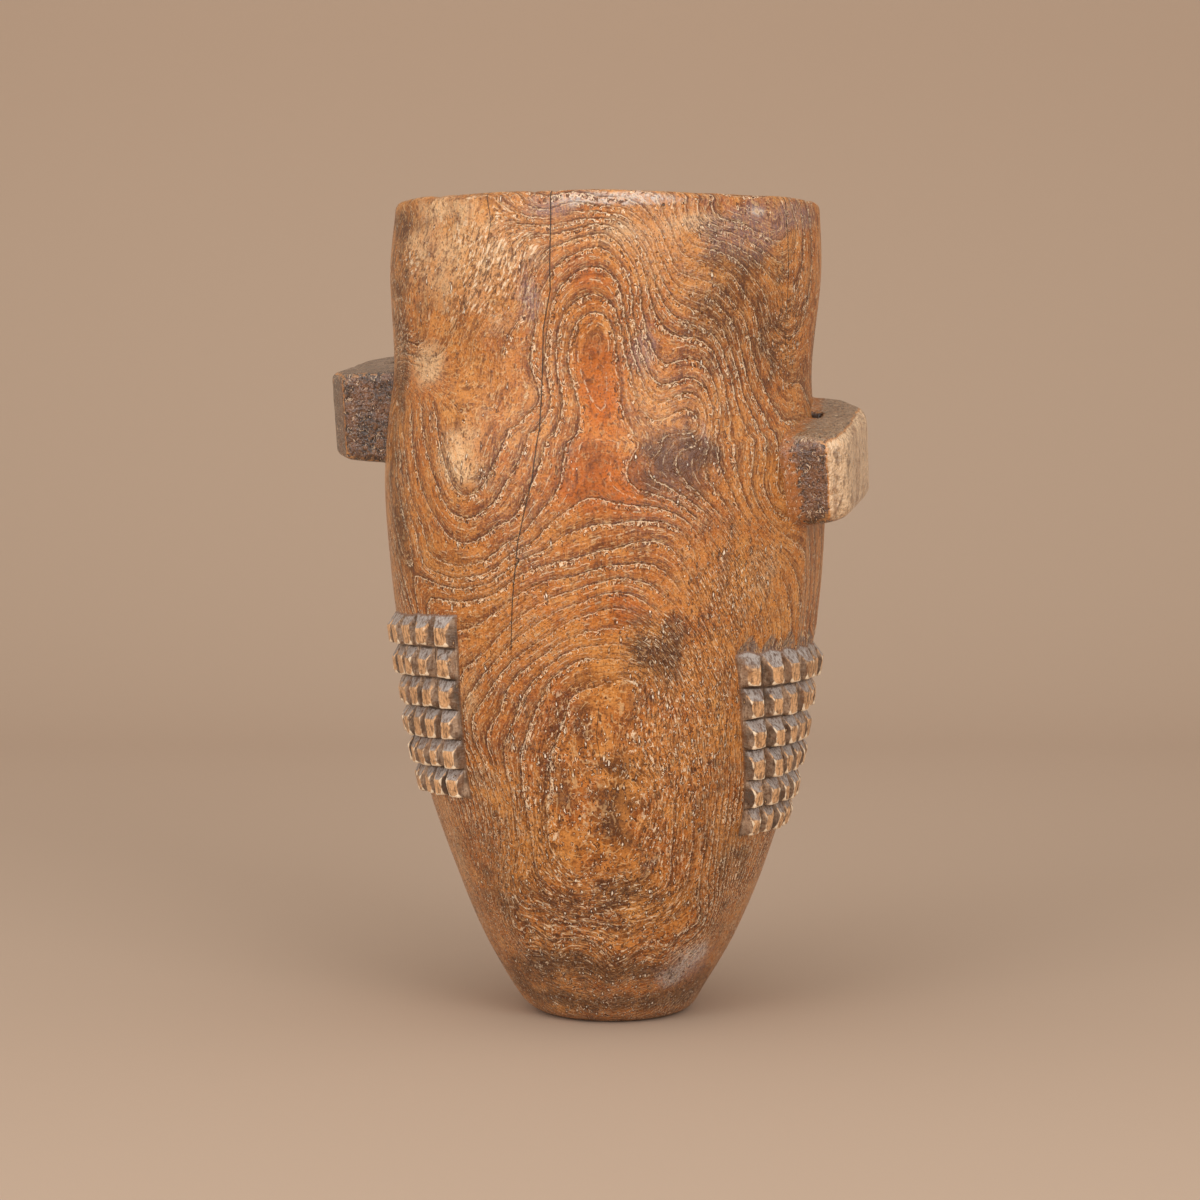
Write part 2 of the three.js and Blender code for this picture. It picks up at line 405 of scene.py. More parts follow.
AROUND = 300
OUTER_STEPS = 196
INNER_STEPS = 66
CORE = 0.02 * MM
FLUTES = 26
FLUTE_DEPTH = 0.7 * MM
# Degrees from the front, width in degrees and depth in millimetres
RIM_CHIPS = [(-19.5, 0.8, 0.9), (-13.5, 0.6, 0.7), (-52, 3, 0.8), (24, 5, 0.5), (71, 2, 0.9)]


def arc(centre_radius, centre_height, radius, start, stop, steps):
    angles = np.radians(np.linspace(start, stop, steps))
    return [(centre_radius + radius * math.cos(a), centre_height + radius * math.sin(a)) for a in angles]


def pail_outline():
    """The outline from the middle of the foot, up the wall, over the rim and down to the hollow's floor."""
    rim_radius = WALL_LINE[-1][0]
    rim_height = WALL_LINE[-1][1]
    outline = [(r * FOOT_FLAT, 0.0) for r in np.linspace(0, 1, 12)[:-1]]
    outline += arc(FOOT_FLAT, FOOT_ROUND, FOOT_ROUND, -90, -FOOT_LEAN, 9)
    heights = np.linspace(WALL_LINE[0][1], rim_height, OUTER_STEPS)[1:]
    outline += [(float(wall_radius(z)), float(z)) for z in heights]
    outline += arc(rim_radius - RIM_ROUND, rim_height, RIM_ROUND, 0, 90, 8)[1:]
    outline += arc(rim_radius - RIM_WALL + LIP_ROUND, HEIGHT - LIP_ROUND, LIP_ROUND, 90, 180, 7)
    for z in np.linspace(HEIGHT - LIP_ROUND, FLOOR + BOWL_RISE, INNER_STEPS)[1:]:
        outline.append((float(wall_radius(z) - wall_thickness(z)), float(z)))
    for angle in np.radians(np.linspace(0, 90, 26))[1:]:
        z = FLOOR + BOWL_RISE * (1 - math.sin(angle))
        outline.append((float(wall_radius(z) - wall_thickness(z)) * math.cos(angle), z))
    return outline


def turning_tree():
    """Turns an outline, drawn as radius and height, round the axis into a closed shell."""
    tree, ids, given = start_tree("turn_the_log", {
        "Outline": ("Geometry", None),
        "Steps Around": ("Int", AROUND),
        "Core Radius": ("Float", CORE),
        "Wood": ("Material", None),
    })
    outline = tree.shape("MeshToCurve", {"Mesh": given["Outline"]})
    circle = {"Resolution": given["Steps Around"], "Radius": given["Core Radius"]}
    axis = tree.shape("CurvePrimitiveCircle", circle)
    turned = tree.shape("CurveToMesh", {"Curve": axis, "Profile Curve": outline})
    poles = tree.times(given["Core Radius"], 3.0)
    closed = tree.shape("MergeByDistance", {"Geometry": turned, "Distance": poles})
    end_tree(tree, "Pail", closed, given["Wood"])
    return tree.tree, ids


def carve_shell(points):
    """Carves the outside, flutes the hollow, and lets the rim and the axis wander as the log does."""
    azimuth, radius, z = round_axis(points)
    skin = wall_radius(z)
    outside = smooth_step(radius, skin - 8 * MM, skin - 3 * MM) * smooth_step(z, 1 * MM, 12 * MM)
    hollow = 1 - smooth_step(radius, skin - 9 * MM, skin - 7 * MM)
    hollow *= smooth_step(z, FLOOR - 2 * MM, FLOOR + 30 * MM)
    hollow *= 1 - smooth_step(z, HEIGHT - 14 * MM, HEIGHT - 4 * MM)
    a = np.radians(azimuth)
    flute = a * FLUTES / (2 * math.pi) + 0.3 * np.sin(26 * z + 2 * a) + 0.15 * np.sin(71 * z)
    scallop = np.abs(2 * (flute - np.floor(flute)) - 1)
    gouged = (scallop**1.6 - 0.4 + 0.3 * np.sin(55 * z + 5 * a)) * FLUTE_DEPTH
    moved = radius + outside * carving(azimuth, z) - hollow * gouged
    scale = moved / np.maximum(radius, 1e-6)
    lift = smooth_step(z, HEIGHT - 9 * MM, HEIGHT - 1 * MM)
    rim_wave = 0.45 * MM * (np.sin(2 * a + 0.4) + 0.7 * np.sin(5 * a + 1.9) + 0.4 * np.sin(13 * a))
    for at, width, depth in RIM_CHIPS:
        rim_wave = rim_wave - depth * MM * np.exp(-(((turn_from_front(azimuth) - at) / width) ** 2))
    shift_x, shift_y = log_shift(z)
    x, y = points.T[:2] * scale
    return np.stack([x + shift_x, y + shift_y, z + lift * rim_wave], -1)


def make_body(material):
    outline = pail_outline()
    edges = [(i, i + 1) for i in range(len(outline) - 1)]
    line = new_object("outline", [(r, -z, 0) for r, z in outline], edges, [])
    group, ids = turning_tree()
    piece = run_tree(line, group, {ids["Wood"]: material}, "carved_pail")
    write_points(piece.data, carve_shell(read_points(piece.data)))
    return piece


# Boss fields: grid lines drawn on the wall, and a tree that raises a worn boss on each cell
GROOVE_PROUD = 0.5 * MM
BOSS_RELIEF = 4.6 * MM
MARGIN = (0.22, 0.2)  # rows and columns of slab past the outer grid lines
CUTTER_SLIP = 0.55  # millimetres each way
FACE_VARY = 0.07
FACE_SLIP = 0.5 * MM
SLAB_BACK = -6 * MM
SLAB_EDGE = -3 * MM


def field_point(field, row, column, proud, drift):
    """A point of the grid. Rows count from the top, columns from the middle; drift is a cutter's slip."""
    share = np.clip(row / BOSS_ROWS, 0, 1)
    mean_rise = np.interp(share / 2, (0, 1), field["rise"])
    width = np.interp(share, (0, 1), field["width"])
    z = field["top"] - row * mean_rise + column * field["lean"] + drift[1]
    azimuth = np.interp(share, (0, 1), field["azimuth"])
    azimuth = azimuth + np.degrees((column * width + drift[0]) / wall_radius(z))
    return outer_point(azimuth, z, proud)


def field_block(field, name, rng):
    """A closed slab let into the wall, its face cut in cells; the attribute cell is 1 where a boss grows."""
    half = BOSS_COLUMNS / 2
    lines_down = [-MARGIN[0], *range(BOSS_ROWS + 1), BOSS_ROWS + MARGIN[0]]
    lines_across = [-MARGIN[1] - half, *(c - half for c in range(BOSS_COLUMNS + 1)), half + MARGIN[1]]
    rows, columns = len(lines_down), len(lines_across)
    points = []
    for back in (False, True):
        for i, row in enumerate(lines_down):
            for j, column in enumerate(lines_across):
                edge = i in (0, rows - 1) or j in (0, columns - 1)
                drift = (0, 0) if edge else rng.uniform(-CUTTER_SLIP, CUTTER_SLIP, 2) * MM
                proud = SLAB_BACK if back else (SLAB_EDGE if edge else GROOVE_PROUD)
                points.append(field_point(field, row, column, proud, drift))
    faces, cells = [], []
    layer = rows * columns
    for i in range(rows - 1):
        for j in range(columns - 1):
            a = i * columns + j
            b, c, d = a + columns, a + columns + 1, a + 1
            faces += [(a, b, c, d), (d + layer, c + layer, b + layer, a + layer)]
            cells += [float(0 < i < rows - 2 and 0 < j < columns - 2), 0.0]
    for j in range(columns - 1):
        top, foot = j, (rows - 1) * columns + j
        faces += [(top, top + 1, top + 1 + layer, top + layer)]
        faces += [(foot + 1, foot, foot + layer, foot + 1 + layer)]
        cells += [0.0, 0.0]
    for i in range(rows - 1):
        near, far = i * columns, i * columns + columns - 1
        faces += [(near + columns, near, near + layer, near + columns + layer)]
        faces += [(far, far + columns, far + columns + layer, far + layer)]
        cells += [0.0, 0.0]
    block = new_object(name, points, [], faces)
    marks = block.data.attributes.new("cell", "FLOAT", "FACE")
    marks.data.foreach_set("value", cells)
    return block


def boss_tree():
    """Raises a tapered boss on each marked cell, leans its face down, then rounds and chips its edges."""
    tree, ids, given = start_tree("raise_bosses", {
        "Block": ("Geometry", None),
        "Relief": ("Float", BOSS_RELIEF),
        "Uneven": ("Float", 0.18),
        "Face Share": ("Float", 0.53),
        "Face Drop": ("Float", 2.5 * MM),
        "Edge Crease": ("Float", 0.94),
        "Smoothing": ("Int", 3),
        "Chip Depth": ("Float", 0.6 * MM),
        "Seed": ("Int", SEED),
        "Wood": ("Material", None),
    })
    cell = tree.shape("InputNamedAttribute", {"Name": "cell"}, data_type="FLOAT")
    is_cell = tree.node("FunctionNodeCompare", {0: cell, 1: 0.5}, operation="GREATER_THAN").outputs[0]
    relief = tree.times(given["Relief"], tree.luck(given["Seed"], 1.0, given["Uneven"]))
    raised = tree.node(
        "GeometryNodeExtrudeMesh",
        {"Mesh": given["Block"], "Selection": is_cell, "Offset Scale": relief, "Individual": True},
        mode="FACES",
    ).outputs
    spread = tree.luck(tree.plus(given["Seed"], 3.0), given["Face Share"], FACE_VARY)
    face = {"Geometry": raised["Mesh"], "Selection": raised["Top"]}
    narrowed = tree.shape("ScaleElements", {**face, "Scale": spread}, domain="FACE")
    slip = tree.node("FunctionNodeRandomValue", {"Seed": given["Seed"]}, data_type="FLOAT_VECTOR")
    for key, far in ((0, -FACE_SLIP), (1, FACE_SLIP)):
        slip.inputs[key].default_value = (far, far, far)
    down = tree.node("ShaderNodeCombineXYZ", {"Z": tree.times(given["Face Drop"], -1.0)})
    lean = tree.vector("ADD", slip.outputs[0], down.outputs[0])
    leaned = tree.shape("SetPosition", {**face, "Geometry": narrowed, "Offset": lean})
    rounding = {"Level": given["Smoothing"], "Edge Crease": given["Edge Crease"]}
    rounded = tree.shape("SubdivisionSurface", {"Mesh": leaned, **rounding})
    place = tree.shape("InputPosition", {})
    noise = {"Vector": place, "Scale": 260.0, "Detail": 3.0, "Roughness": 0.6}
    grit = tree.node("ShaderNodeTexNoise", noise).outputs[0]
    chip = tree.times(tree.minus(grit, 0.5), given["Chip Depth"], 2.0)
    chip = tree.vector("SCALE", tree.shape("InputNormal", {}), scale=chip)
    chipped = tree.shape("SetPosition", {"Geometry": rounded, "Offset": chip})
    end_tree(tree, "Bosses", chipped, given["Wood"])
    return tree.tree, ids


def make_bosses(name, field, tree, seed, material):
    group, ids = tree
    block = field_block(field, name + "_block", np.random.default_rng(seed))
    piece = run_tree(block, group, {ids["Seed"]: seed, ids["Wood"]: material}, name)
    points = read_points(piece.data)
    write_attribute(piece.data, "proud", above_wall(points) / MM)
    azimuth, radius, z = round_axis(points)
    outward = points[:, :2] / radius[:, None]
    write_attribute(piece.data, "facing", np.sum(read_normals(piece.data)[:, :2] * outward, -1))
    share = np.clip((field["top"] - z) / (BOSS_ROWS * np.mean(field["rise"])), 0, 1)
    aside = half_turn(azimuth - np.interp(share, (0, 1), field["azimuth"]))
    column = np.abs(np.radians(aside)) * wall_radius(z) / np.interp(share, (0, 1), field["width"])
    half = BOSS_COLUMNS / 2
    among = (1 - smooth_step(column, half - 0.12, half + 0.04)) * smooth_step(field["top"] - z, 0, 3 * MM)
    write_attribute(piece.data, "among", among)
    return piece


# Lugs: solids of distance, joined to the wall by a hollow root, and skinned
LUG_LENGTH = 85 * MM
ROOT_SHARP = 2.5 * MM
SKIN_STEP = 1.0 * MM
SKIN_ROOM = np.array((16, 16, 26)) * MM
LUGS = {
    "right_grip": {
        "node": "right_lug",
        "azimuth": 0,
        "height": 299.5 * MM,
        "tilt": 12.5,
        "root": 52 * MM,
        "nose": 48 * MM,
        "wedge": 8 * MM,
        "slot": 8 * MM,
        "mouth": (0.1 * MM, 10 * MM, -3 * MM),
        "edge": 4.6 * MM,
        "round": 9 * MM,
        "strap": 12.7 * MM,
        "root_hollow": 11 * MM,
        "blended": 1.0,
        "front_cut": (9 * MM, 13 * MM),
        "back_cut": (14 * MM, 15 * MM),
    },
    "left_grip": {
        "node": "left_lug",
        "azimuth": 180,
        "height": 330 * MM,
        "tilt": -8.5,
        "root": 50 * MM,
        "nose": 46 * MM,
        "wedge": 0,
        "slot": 12 * MM,
        "mouth": (9 * MM, 11 * MM, -4 * MM),
        "edge": 3 * MM,
        "round": 5 * MM,
        "strap": 21.2 * MM,
        "root_hollow": 4 * MM,
        "blended": 0.0,
        "front_cut": (12 * MM, 14 * MM),
        "back_cut": (16 * MM, 16 * MM),
    },
}


def soft_max(a, b, soft):
    return np.maximum(a, b) + np.maximum(soft - np.abs(a - b), 0) ** 2 / (4 * soft)


def soft_min(a, b, soft):
    return -soft_max(-a, -b, soft)


def lug_side(lug):
    """1 for the lug on the right, -1 for the one on the left."""
    return math.cos(math.radians(lug["azimuth"]))


def lug_distance(lug, points):
    """Rough distance from a lug's skin, and from its top and bottom faces; below zero inside."""
    seat = float(wall_radius(lug["height"]))
    reach = seat + lug["slot"] + lug["strap"]
    way = lug_side(lug)
    x = points[..., 0] * way
    y = points[..., 1] * way
    z = points[..., 2] - lug["height"]
    tilt = math.radians(lug["tilt"])
    along = y * math.cos(tilt) + z * math.sin(tilt)
    up = z * math.cos(tilt) - y * math.sin(tilt)
    taper = 1 + (lug["nose"] / lug["root"] - 1) * np.clip((x - seat) / (reach - seat), -0.3, 1)
    half = (lug["root"] + lug["wedge"] * along / LUG_LENGTH) / 2
    faces = np.abs(up) - half * taper
    to_front = -along * way
    plan = soft_max(x - reach, np.abs(along) - LUG_LENGTH / 2, 3 * MM)
    for end, (cut_reach, cut_along) in ((to_front, lug["front_cut"]), (-to_front, lug["back_cut"])):
        slant = (x - reach + cut_reach) * cut_along + (end - LUG_LENGTH / 2) * cut_reach
        plan = soft_max(plan, slant / math.hypot(cut_reach, cut_along), 0.8 * lug["edge"])
    return soft_max(plan, faces, lug["round"]), faces


def slot_distance(lug, points):
    """Rough distance from the slot, which is pierced down through the lug beside the wall."""
    way = lug_side(lug)
    wide, long, middle = lug["mouth"]
    reach = points[..., 0] * way - float(wall_radius(lug["height"])) - wide
    slot = soft_max(reach, np.abs(points[..., 1] * way - middle) - long / 2, 3 * MM)
    return np.maximum(slot, -above_wall(points) - 1.5 * MM)


def lug_solid(lug, points):
    """The lug with its hollow root on the wall, its slot, and a tongue sunk in the wall behind it."""
    x, y, z = np.moveaxis(points, -1, 0)
    wall = above_wall(points)
    block, faces = lug_distance(lug, points)
    hollow = ROOT_SHARP + (lug["root_hollow"] - ROOT_SHARP) * smooth_step(-faces, 0, 9 * MM)
    solid = soft_min(block, wall + 0.6 * MM, hollow)
    solid = soft_max(solid, -slot_distance(lug, points), 2 * MM)
    rough = np.sin(310 * x + 120 * y) * np.sin(270 * y + 90 * z)
    rough = rough + 0.6 * np.sin(520 * z + 230 * x) * np.sin(480 * y)
    solid = solid + 0.16 * MM * rough
    past_end = np.abs(y) - LUG_LENGTH / 2 - 12 * MM
    past_face = np.abs(z - lug["height"]) - lug["root"] / 2 - 20 * MM
    return np.maximum(np.maximum(solid, np.maximum(past_end, past_face)), -wall - 5 * MM)


def skin(distance, low, step):
    """Closed quads round the space where the distance grid is below zero, one point for each crossed cell."""
    sign = distance < 0
    cell = np.zeros(np.array(sign.shape) - 1, int)
    sums = np.zeros(cell.shape + (3,))
    hits = np.zeros(cell.shape)
    for start in np.ndindex(2, 2, 2):
        for axis in range(3):
            if start[axis]:
                continue
            stop = tuple(c + (n == axis) for n, c in enumerate(start))
            ends = (tuple(slice(c, s - 1 + c) for c, s in zip(end, sign.shape)) for end in (start, stop))
            a, b = (distance[end] for end in ends)
            crossed = (a < 0) != (b < 0)
            share = np.where(crossed, a / np.where(crossed, a - b, 1), 0)
            for n in range(3):
                sums[..., n] += crossed * (start[n] + share * (n == axis))
            hits += crossed
    live = hits > 0
    cell[live] = np.arange(live.sum())
    index = np.argwhere(live)
    points = low + step * (index + sums[live] / hits[live][:, None])
    faces = []
    for axis in range(3):
        u, v = [n for n in range(3) if n != axis]
        a = np.take(sign, range(sign.shape[axis] - 1), axis)
        b = np.take(sign, range(1, sign.shape[axis]), axis)
        turns = np.argwhere(a != b)
        turns = turns[(turns[:, u] > 0) & (turns[:, v] > 0)]
        corner = []
        for du, dv in ((1, 1), (0, 1), (0, 0), (1, 0)):
            at = turns.copy()
            at[:, u] -= du
            at[:, v] -= dv
            corner.append(cell[tuple(at.T)])
        quads = np.stack(corner, -1)
        outward = a[tuple(turns.T)] != (axis == 1)
        quads[~outward] = quads[~outward][:, ::-1]
        faces.append(quads)
    return points, np.concatenate(faces)


def smooth_faces(mesh):
    for polygon in mesh.polygons:
        polygon.use_smooth = True


def make_lug(name, lug, material):
    low, high = (np.array(corner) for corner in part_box(lug["node"]))
    low = low - SKIN_ROOM
    counts = np.ceil((high + SKIN_ROOM - low) / SKIN_STEP).astype(int)
    axes = [low[n] + SKIN_STEP * np.arange(counts[n]) for n in range(3)]
    grid = np.stack(np.meshgrid(*axes, indexing="ij"), -1)
    points, faces = skin(lug_solid(lug, grid), low, SKIN_STEP)
    piece = new_object(name, points, [], faces.tolist())
    smooth_faces(piece.data)
    piece.data.materials.append(material)
    outward = read_normals(piece.data)[:, 0] * lug_side(lug)
    wall = above_wall(points)
    rubbed = smooth_step(outward, 0.35, 0.7) * smooth_step(wall, 3 * MM, 11 * MM)
    write_attribute(piece.data, "rubbed", rubbed)
    write_attribute(piece.data, "root", lug["blended"] * (1 - smooth_step(wall, 1 * MM, 9 * MM)))
    write_attribute(piece.data, "blended", np.full(len(points), lug["blended"]))
    # Where the slot's inside is painted near black as shade
    write_attribute(piece.data, "slot", 1 - smooth_step(slot_distance(lug, points), 0.3 * MM, 1.6 * MM))
    return piece


# Growth rings, counted from the tongue on the front. Each trace is a ring and the pixels on its way.
RING_TRACES = [
    # Arches
    (-1, [(568, 345), (578, 322), (595, 312), (611, 322), (616, 345)]),
    (-2, [(553, 360), (560, 325), (580, 303), (600, 300), (614, 315), (619, 345), (628, 372)]),
    (-3, [(545, 400), (548, 348), (553, 300), (572, 277), (600, 270), (615, 284), (620, 318), (625, 350)]),
    (-4, [(535, 400), (540, 300), (560, 266), (600, 251), (617, 261), (630, 287), (634, 330), (649, 377)]),
    (-5, [(525, 400), (529, 310), (548, 256), (600, 235), (629, 262), (638, 305), (644, 335), (658, 357)]),
    (-6, [(600, 225), (623, 237), (640, 266), (647, 292), (660, 321), (680, 335), (698, 338), (713, 350)]),
    (-7, [(600, 219), (620, 224), (633, 240), (652, 278), (664, 306), (682, 322), (704, 330), (722, 360)]),
    (-8, [(600, 213), (625, 219), (650, 250), (666, 290), (692, 310), (708, 319), (724, 341), (738, 384)]),
    (-7, [(548, 234), (572, 223)]),
    (-8, [(540, 224), (568, 213)]),
    (-9, [(536, 212), (568, 204), (600, 207), (628, 212), (654, 240), (668, 274)]),
    (-10, [(555, 197), (600, 200), (634, 205), (661, 236), (670, 264)]),
    # Lines to the right eye
    (-4, [(649, 377), (658, 384), (666, 382), (686, 377), (702, 388)]),
    (-5, [(660, 358), (676, 358), (687, 356), (698, 364), (710, 384), (716, 399)]),
    (-6, [(722, 377), (726, 400)]),
    (-3, [(653, 399), (669, 393), (687, 388), (698, 397)]),
    (-2, [(653, 414), (676, 408), (687, 408), (698, 419)]),
    (-1, [(643, 443), (671, 427), (686, 425), (693, 429)]),
    # Right crown
    (-9, [(672, 283), (689, 290), (707, 293), (722, 307), (732, 321), (738, 342), (743, 372)]),
    (-10, [(672, 268), (689, 278), (707, 284), (721, 293), (732, 305), (745, 318), (750, 345)]),
    (-11, [(676, 250), (692, 256), (707, 261), (722, 267), (736, 275), (747, 296), (757, 330)]),
    (-12, [(695, 247), (710, 250), (727, 255), (748, 270), (765, 292), (774, 320)]),
    (-13, [(706, 237), (730, 243), (752, 257), (772, 276), (783, 306)]),
    (-14, [(707, 224), (730, 232), (755, 243), (780, 262)]),
    (-15, [(712, 212), (736, 220), (766, 233)]),
    (-16, [(738, 208), (776, 220)]),
    # Right eye
    (-1, [(636, 487), (659, 495), (679, 507), (689, 514)]),
    (-2, [(691, 434), (679, 436), (661, 446), (650, 461), (645, 475), (655, 485), (680, 497)]),
    (-3, [(680, 446), (677, 459), (680, 475), (689, 489), (702, 500)]),
    (-4, [(705, 452), (704, 468), (711, 486), (718, 495)]),
    (-5, [(716, 436), (714, 454), (721, 475), (730, 489)]),
    (-6, [(740, 440), (740, 490)]),
    (-7, [(752, 440), (752, 490)]),
    (-8, [(764, 440), (764, 490)]),
    (-9, [(777, 440), (777, 490)]),
    # Tongue
    (-0.3, [(595, 345), (595, 375), (592, 405), (590, 440), (600, 480), (575, 470), (620, 500)]),
    # Left crown
    (-6, [(537, 225), (520, 255), (498, 300), (470, 352), (458, 380)]),
    (-7, [(505, 228), (487, 262), (463, 310), (440, 355)]),
    (-8, [(470, 228), (452, 262), (432, 310), (416, 350)]),
    (-9, [(435, 225), (420, 260), (406, 300), (399, 340)]),
    (-10, [(410, 222), (400, 250)]),
    (-5, [(548, 235), (532, 280), (513, 330), (500, 380), (482, 420), (462, 445)]),
    (-4, [(520, 400), (505, 440), (492, 470)]),
    (-3, [(530, 425), (518, 462)]),
    # Left eye
    (-5, [(458, 462), (450, 448)]),
    (-4, [(482, 492), (463, 500), (450, 490), (443, 470), (436, 450), (430, 425), (426, 405)]),
    (-3, [
        (500, 490), (480, 515), (473, 520), (458, 520), (446, 511), (441, 504), (434, 486), (429, 472),
        (421, 445), (416, 418), (414, 400),
    ]),
    (-2, [
        (530, 480), (515, 516), (495, 527), (478, 539), (465, 544), (451, 542), (438, 526), (426, 507),
        (418, 486), (411, 455), (407, 425), (405, 398),
    ]),
    (-1, [
        (561, 461), (556, 484), (545, 504), (518, 538), (495, 556), (472, 567), (453, 568), (440, 563),
        (426, 553), (409, 500), (403, 460), (399, 425), (397, 395),
    ]),
    # Lower arcs
    (1, [
        (677, 529), (636, 521), (600, 522), (556, 535), (513, 564), (463, 588), (434, 584), (411, 545),
        (401, 505), (396, 460), (394, 420),
    ]),
    (2, [(664, 547), (620, 547), (571, 561), (525, 574), (487, 596), (472, 600), (430, 602)]),
    (3, [(645, 564), (620, 564), (564, 576), (518, 594), (494, 614), (465, 628)]),
    (4, [(639, 579), (594, 584), (564, 593), (533, 610), (510, 627), (487, 652), (461, 675)]),
    (5, [(632, 596), (602, 594), (579, 604), (541, 620), (518, 636), (497, 658), (478, 685), (465, 720)]),
    (6, [(612, 606), (579, 617), (545, 640), (512, 663), (489, 692), (476, 715), (474, 734)]),
    (7, [(621, 629), (589, 635), (554, 648), (514, 680), (501, 715), (490, 742)]),
    (8, [(612, 645), (568, 655), (543, 675), (522, 707), (511, 738), (508, 761)]),
    (9, [(620, 658), (581, 659), (552, 678), (535, 713), (524, 751), (528, 800)]),
    (10, [(638, 680), (602, 692), (572, 715), (554, 757), (550, 810), (552, 849), (579, 876), (613, 874)]),
    # Foot smiles
    (10.6, [(596, 730), (600, 785), (600, 830)]),
    (9, [(550, 887), (583, 902), (613, 902), (634, 896), (666, 887)]),
    (8, [(512, 880), (530, 910), (566, 920), (611, 922), (650, 915)]),
    (7, [(509, 900), (530, 928), (562, 942), (615, 953), (636, 949), (660, 938), (685, 920)]),
    (6, [(508, 925), (530, 952), (560, 962), (615, 975), (664, 962), (705, 924)]),
    (10, [(655, 790), (650, 830), (634, 869)]),
    (9, [(672, 760), (674, 810), (668, 860)]),
    (8, [(688, 740), (692, 800), (688, 860)]),
    (7, [(703, 720), (710, 790), (705, 850)]),
]
PITH_BEHIND = 60  # millimetres from the pail's axis back to the log's pith
FIRST_RING = 118  # millimetres from the axis to the ring that counts as nought, at the front
RING = 4.2  # millimetres of wood to a year
TRACE_REACH = 20  # millimetres over which a trace bends the rings beside it
TRACE_EASE = 0.02  # how loosely the rings keep to a trace
# Swells at the back: degrees from the front, height, half-width and half-height in millimetres, and rings
BACK_SWELLS = [(150, 210, 30, 60, 7), (-128, 300, 26, 70, 6), (112, 120, 26, 60, 5), (-165, 90, 34, 50, 4)]


def hump(turn, z, at, height, wide, tall):
    """A soft hump on the wall, 1 at its middle. Sizes in millimetres."""
    across = arc_length(half_turn(turn - at))
    return np.exp(-((across / wide) ** 2) - ((z - height) / tall) ** 2)


def plain_rings(turn, radius, z):
    """Rings of an upright log whose pith lies behind the axis, with a few swells round the back."""
    a = np.radians(turn)
    from_pith = np.hypot(radius * np.sin(a), radius * np.cos(a) + PITH_BEHIND)
    count = (from_pith - FIRST_RING - PITH_BEHIND) / RING
    for *place, rings in BACK_SWELLS:
        count = count + rings * hump(turn, z, *place)
    return count


def trace_pull(away):
    return (1 + away / TRACE_REACH) * np.exp(-away / TRACE_REACH)


def bend_rings():
    """Points of the traces, and how hard each pulls, so that the rings run through all of them."""
    rings, places = [], []
    for ring, pixels in RING_TRACES:
        rings += [ring] * len(pixels)
        places += list(spots(pixels))
    turn, z = np.array(places).T
    at = np.stack([arc_length(turn), z], -1)
    lack = np.array(rings) - plain_rings(turn, wall_radius(z * MM) / MM, z)
    away = np.linalg.norm(at[:, None] - at[None], axis=-1)
    return at, np.linalg.solve(trace_pull(away) + TRACE_EASE * np.eye(len(at)), lack)


TRACE_SPOTS, TRACE_PULLS = bend_rings()


def on_wall(points):
    """Degrees right of the front, then the distance from the axis and the height in millimetres."""
    azimuth, radius, z = round_axis(points / MM)
    return turn_from_front(azimuth), radius, z


def ring_count(points):
    """The ring at each point of the wood."""
    turn, radius, z = on_wall(points)
    count = plain_rings(turn, radius, z)
    at = np.stack([arc_length(turn), z], -1)
    for part in np.array_split(np.arange(len(at)), 1 + len(at) // 4000):
        away = np.linalg.norm(at[part][:, None] - TRACE_SPOTS[None], axis=-1)
        count[part] += trace_pull(away) @ TRACE_PULLS
    return count
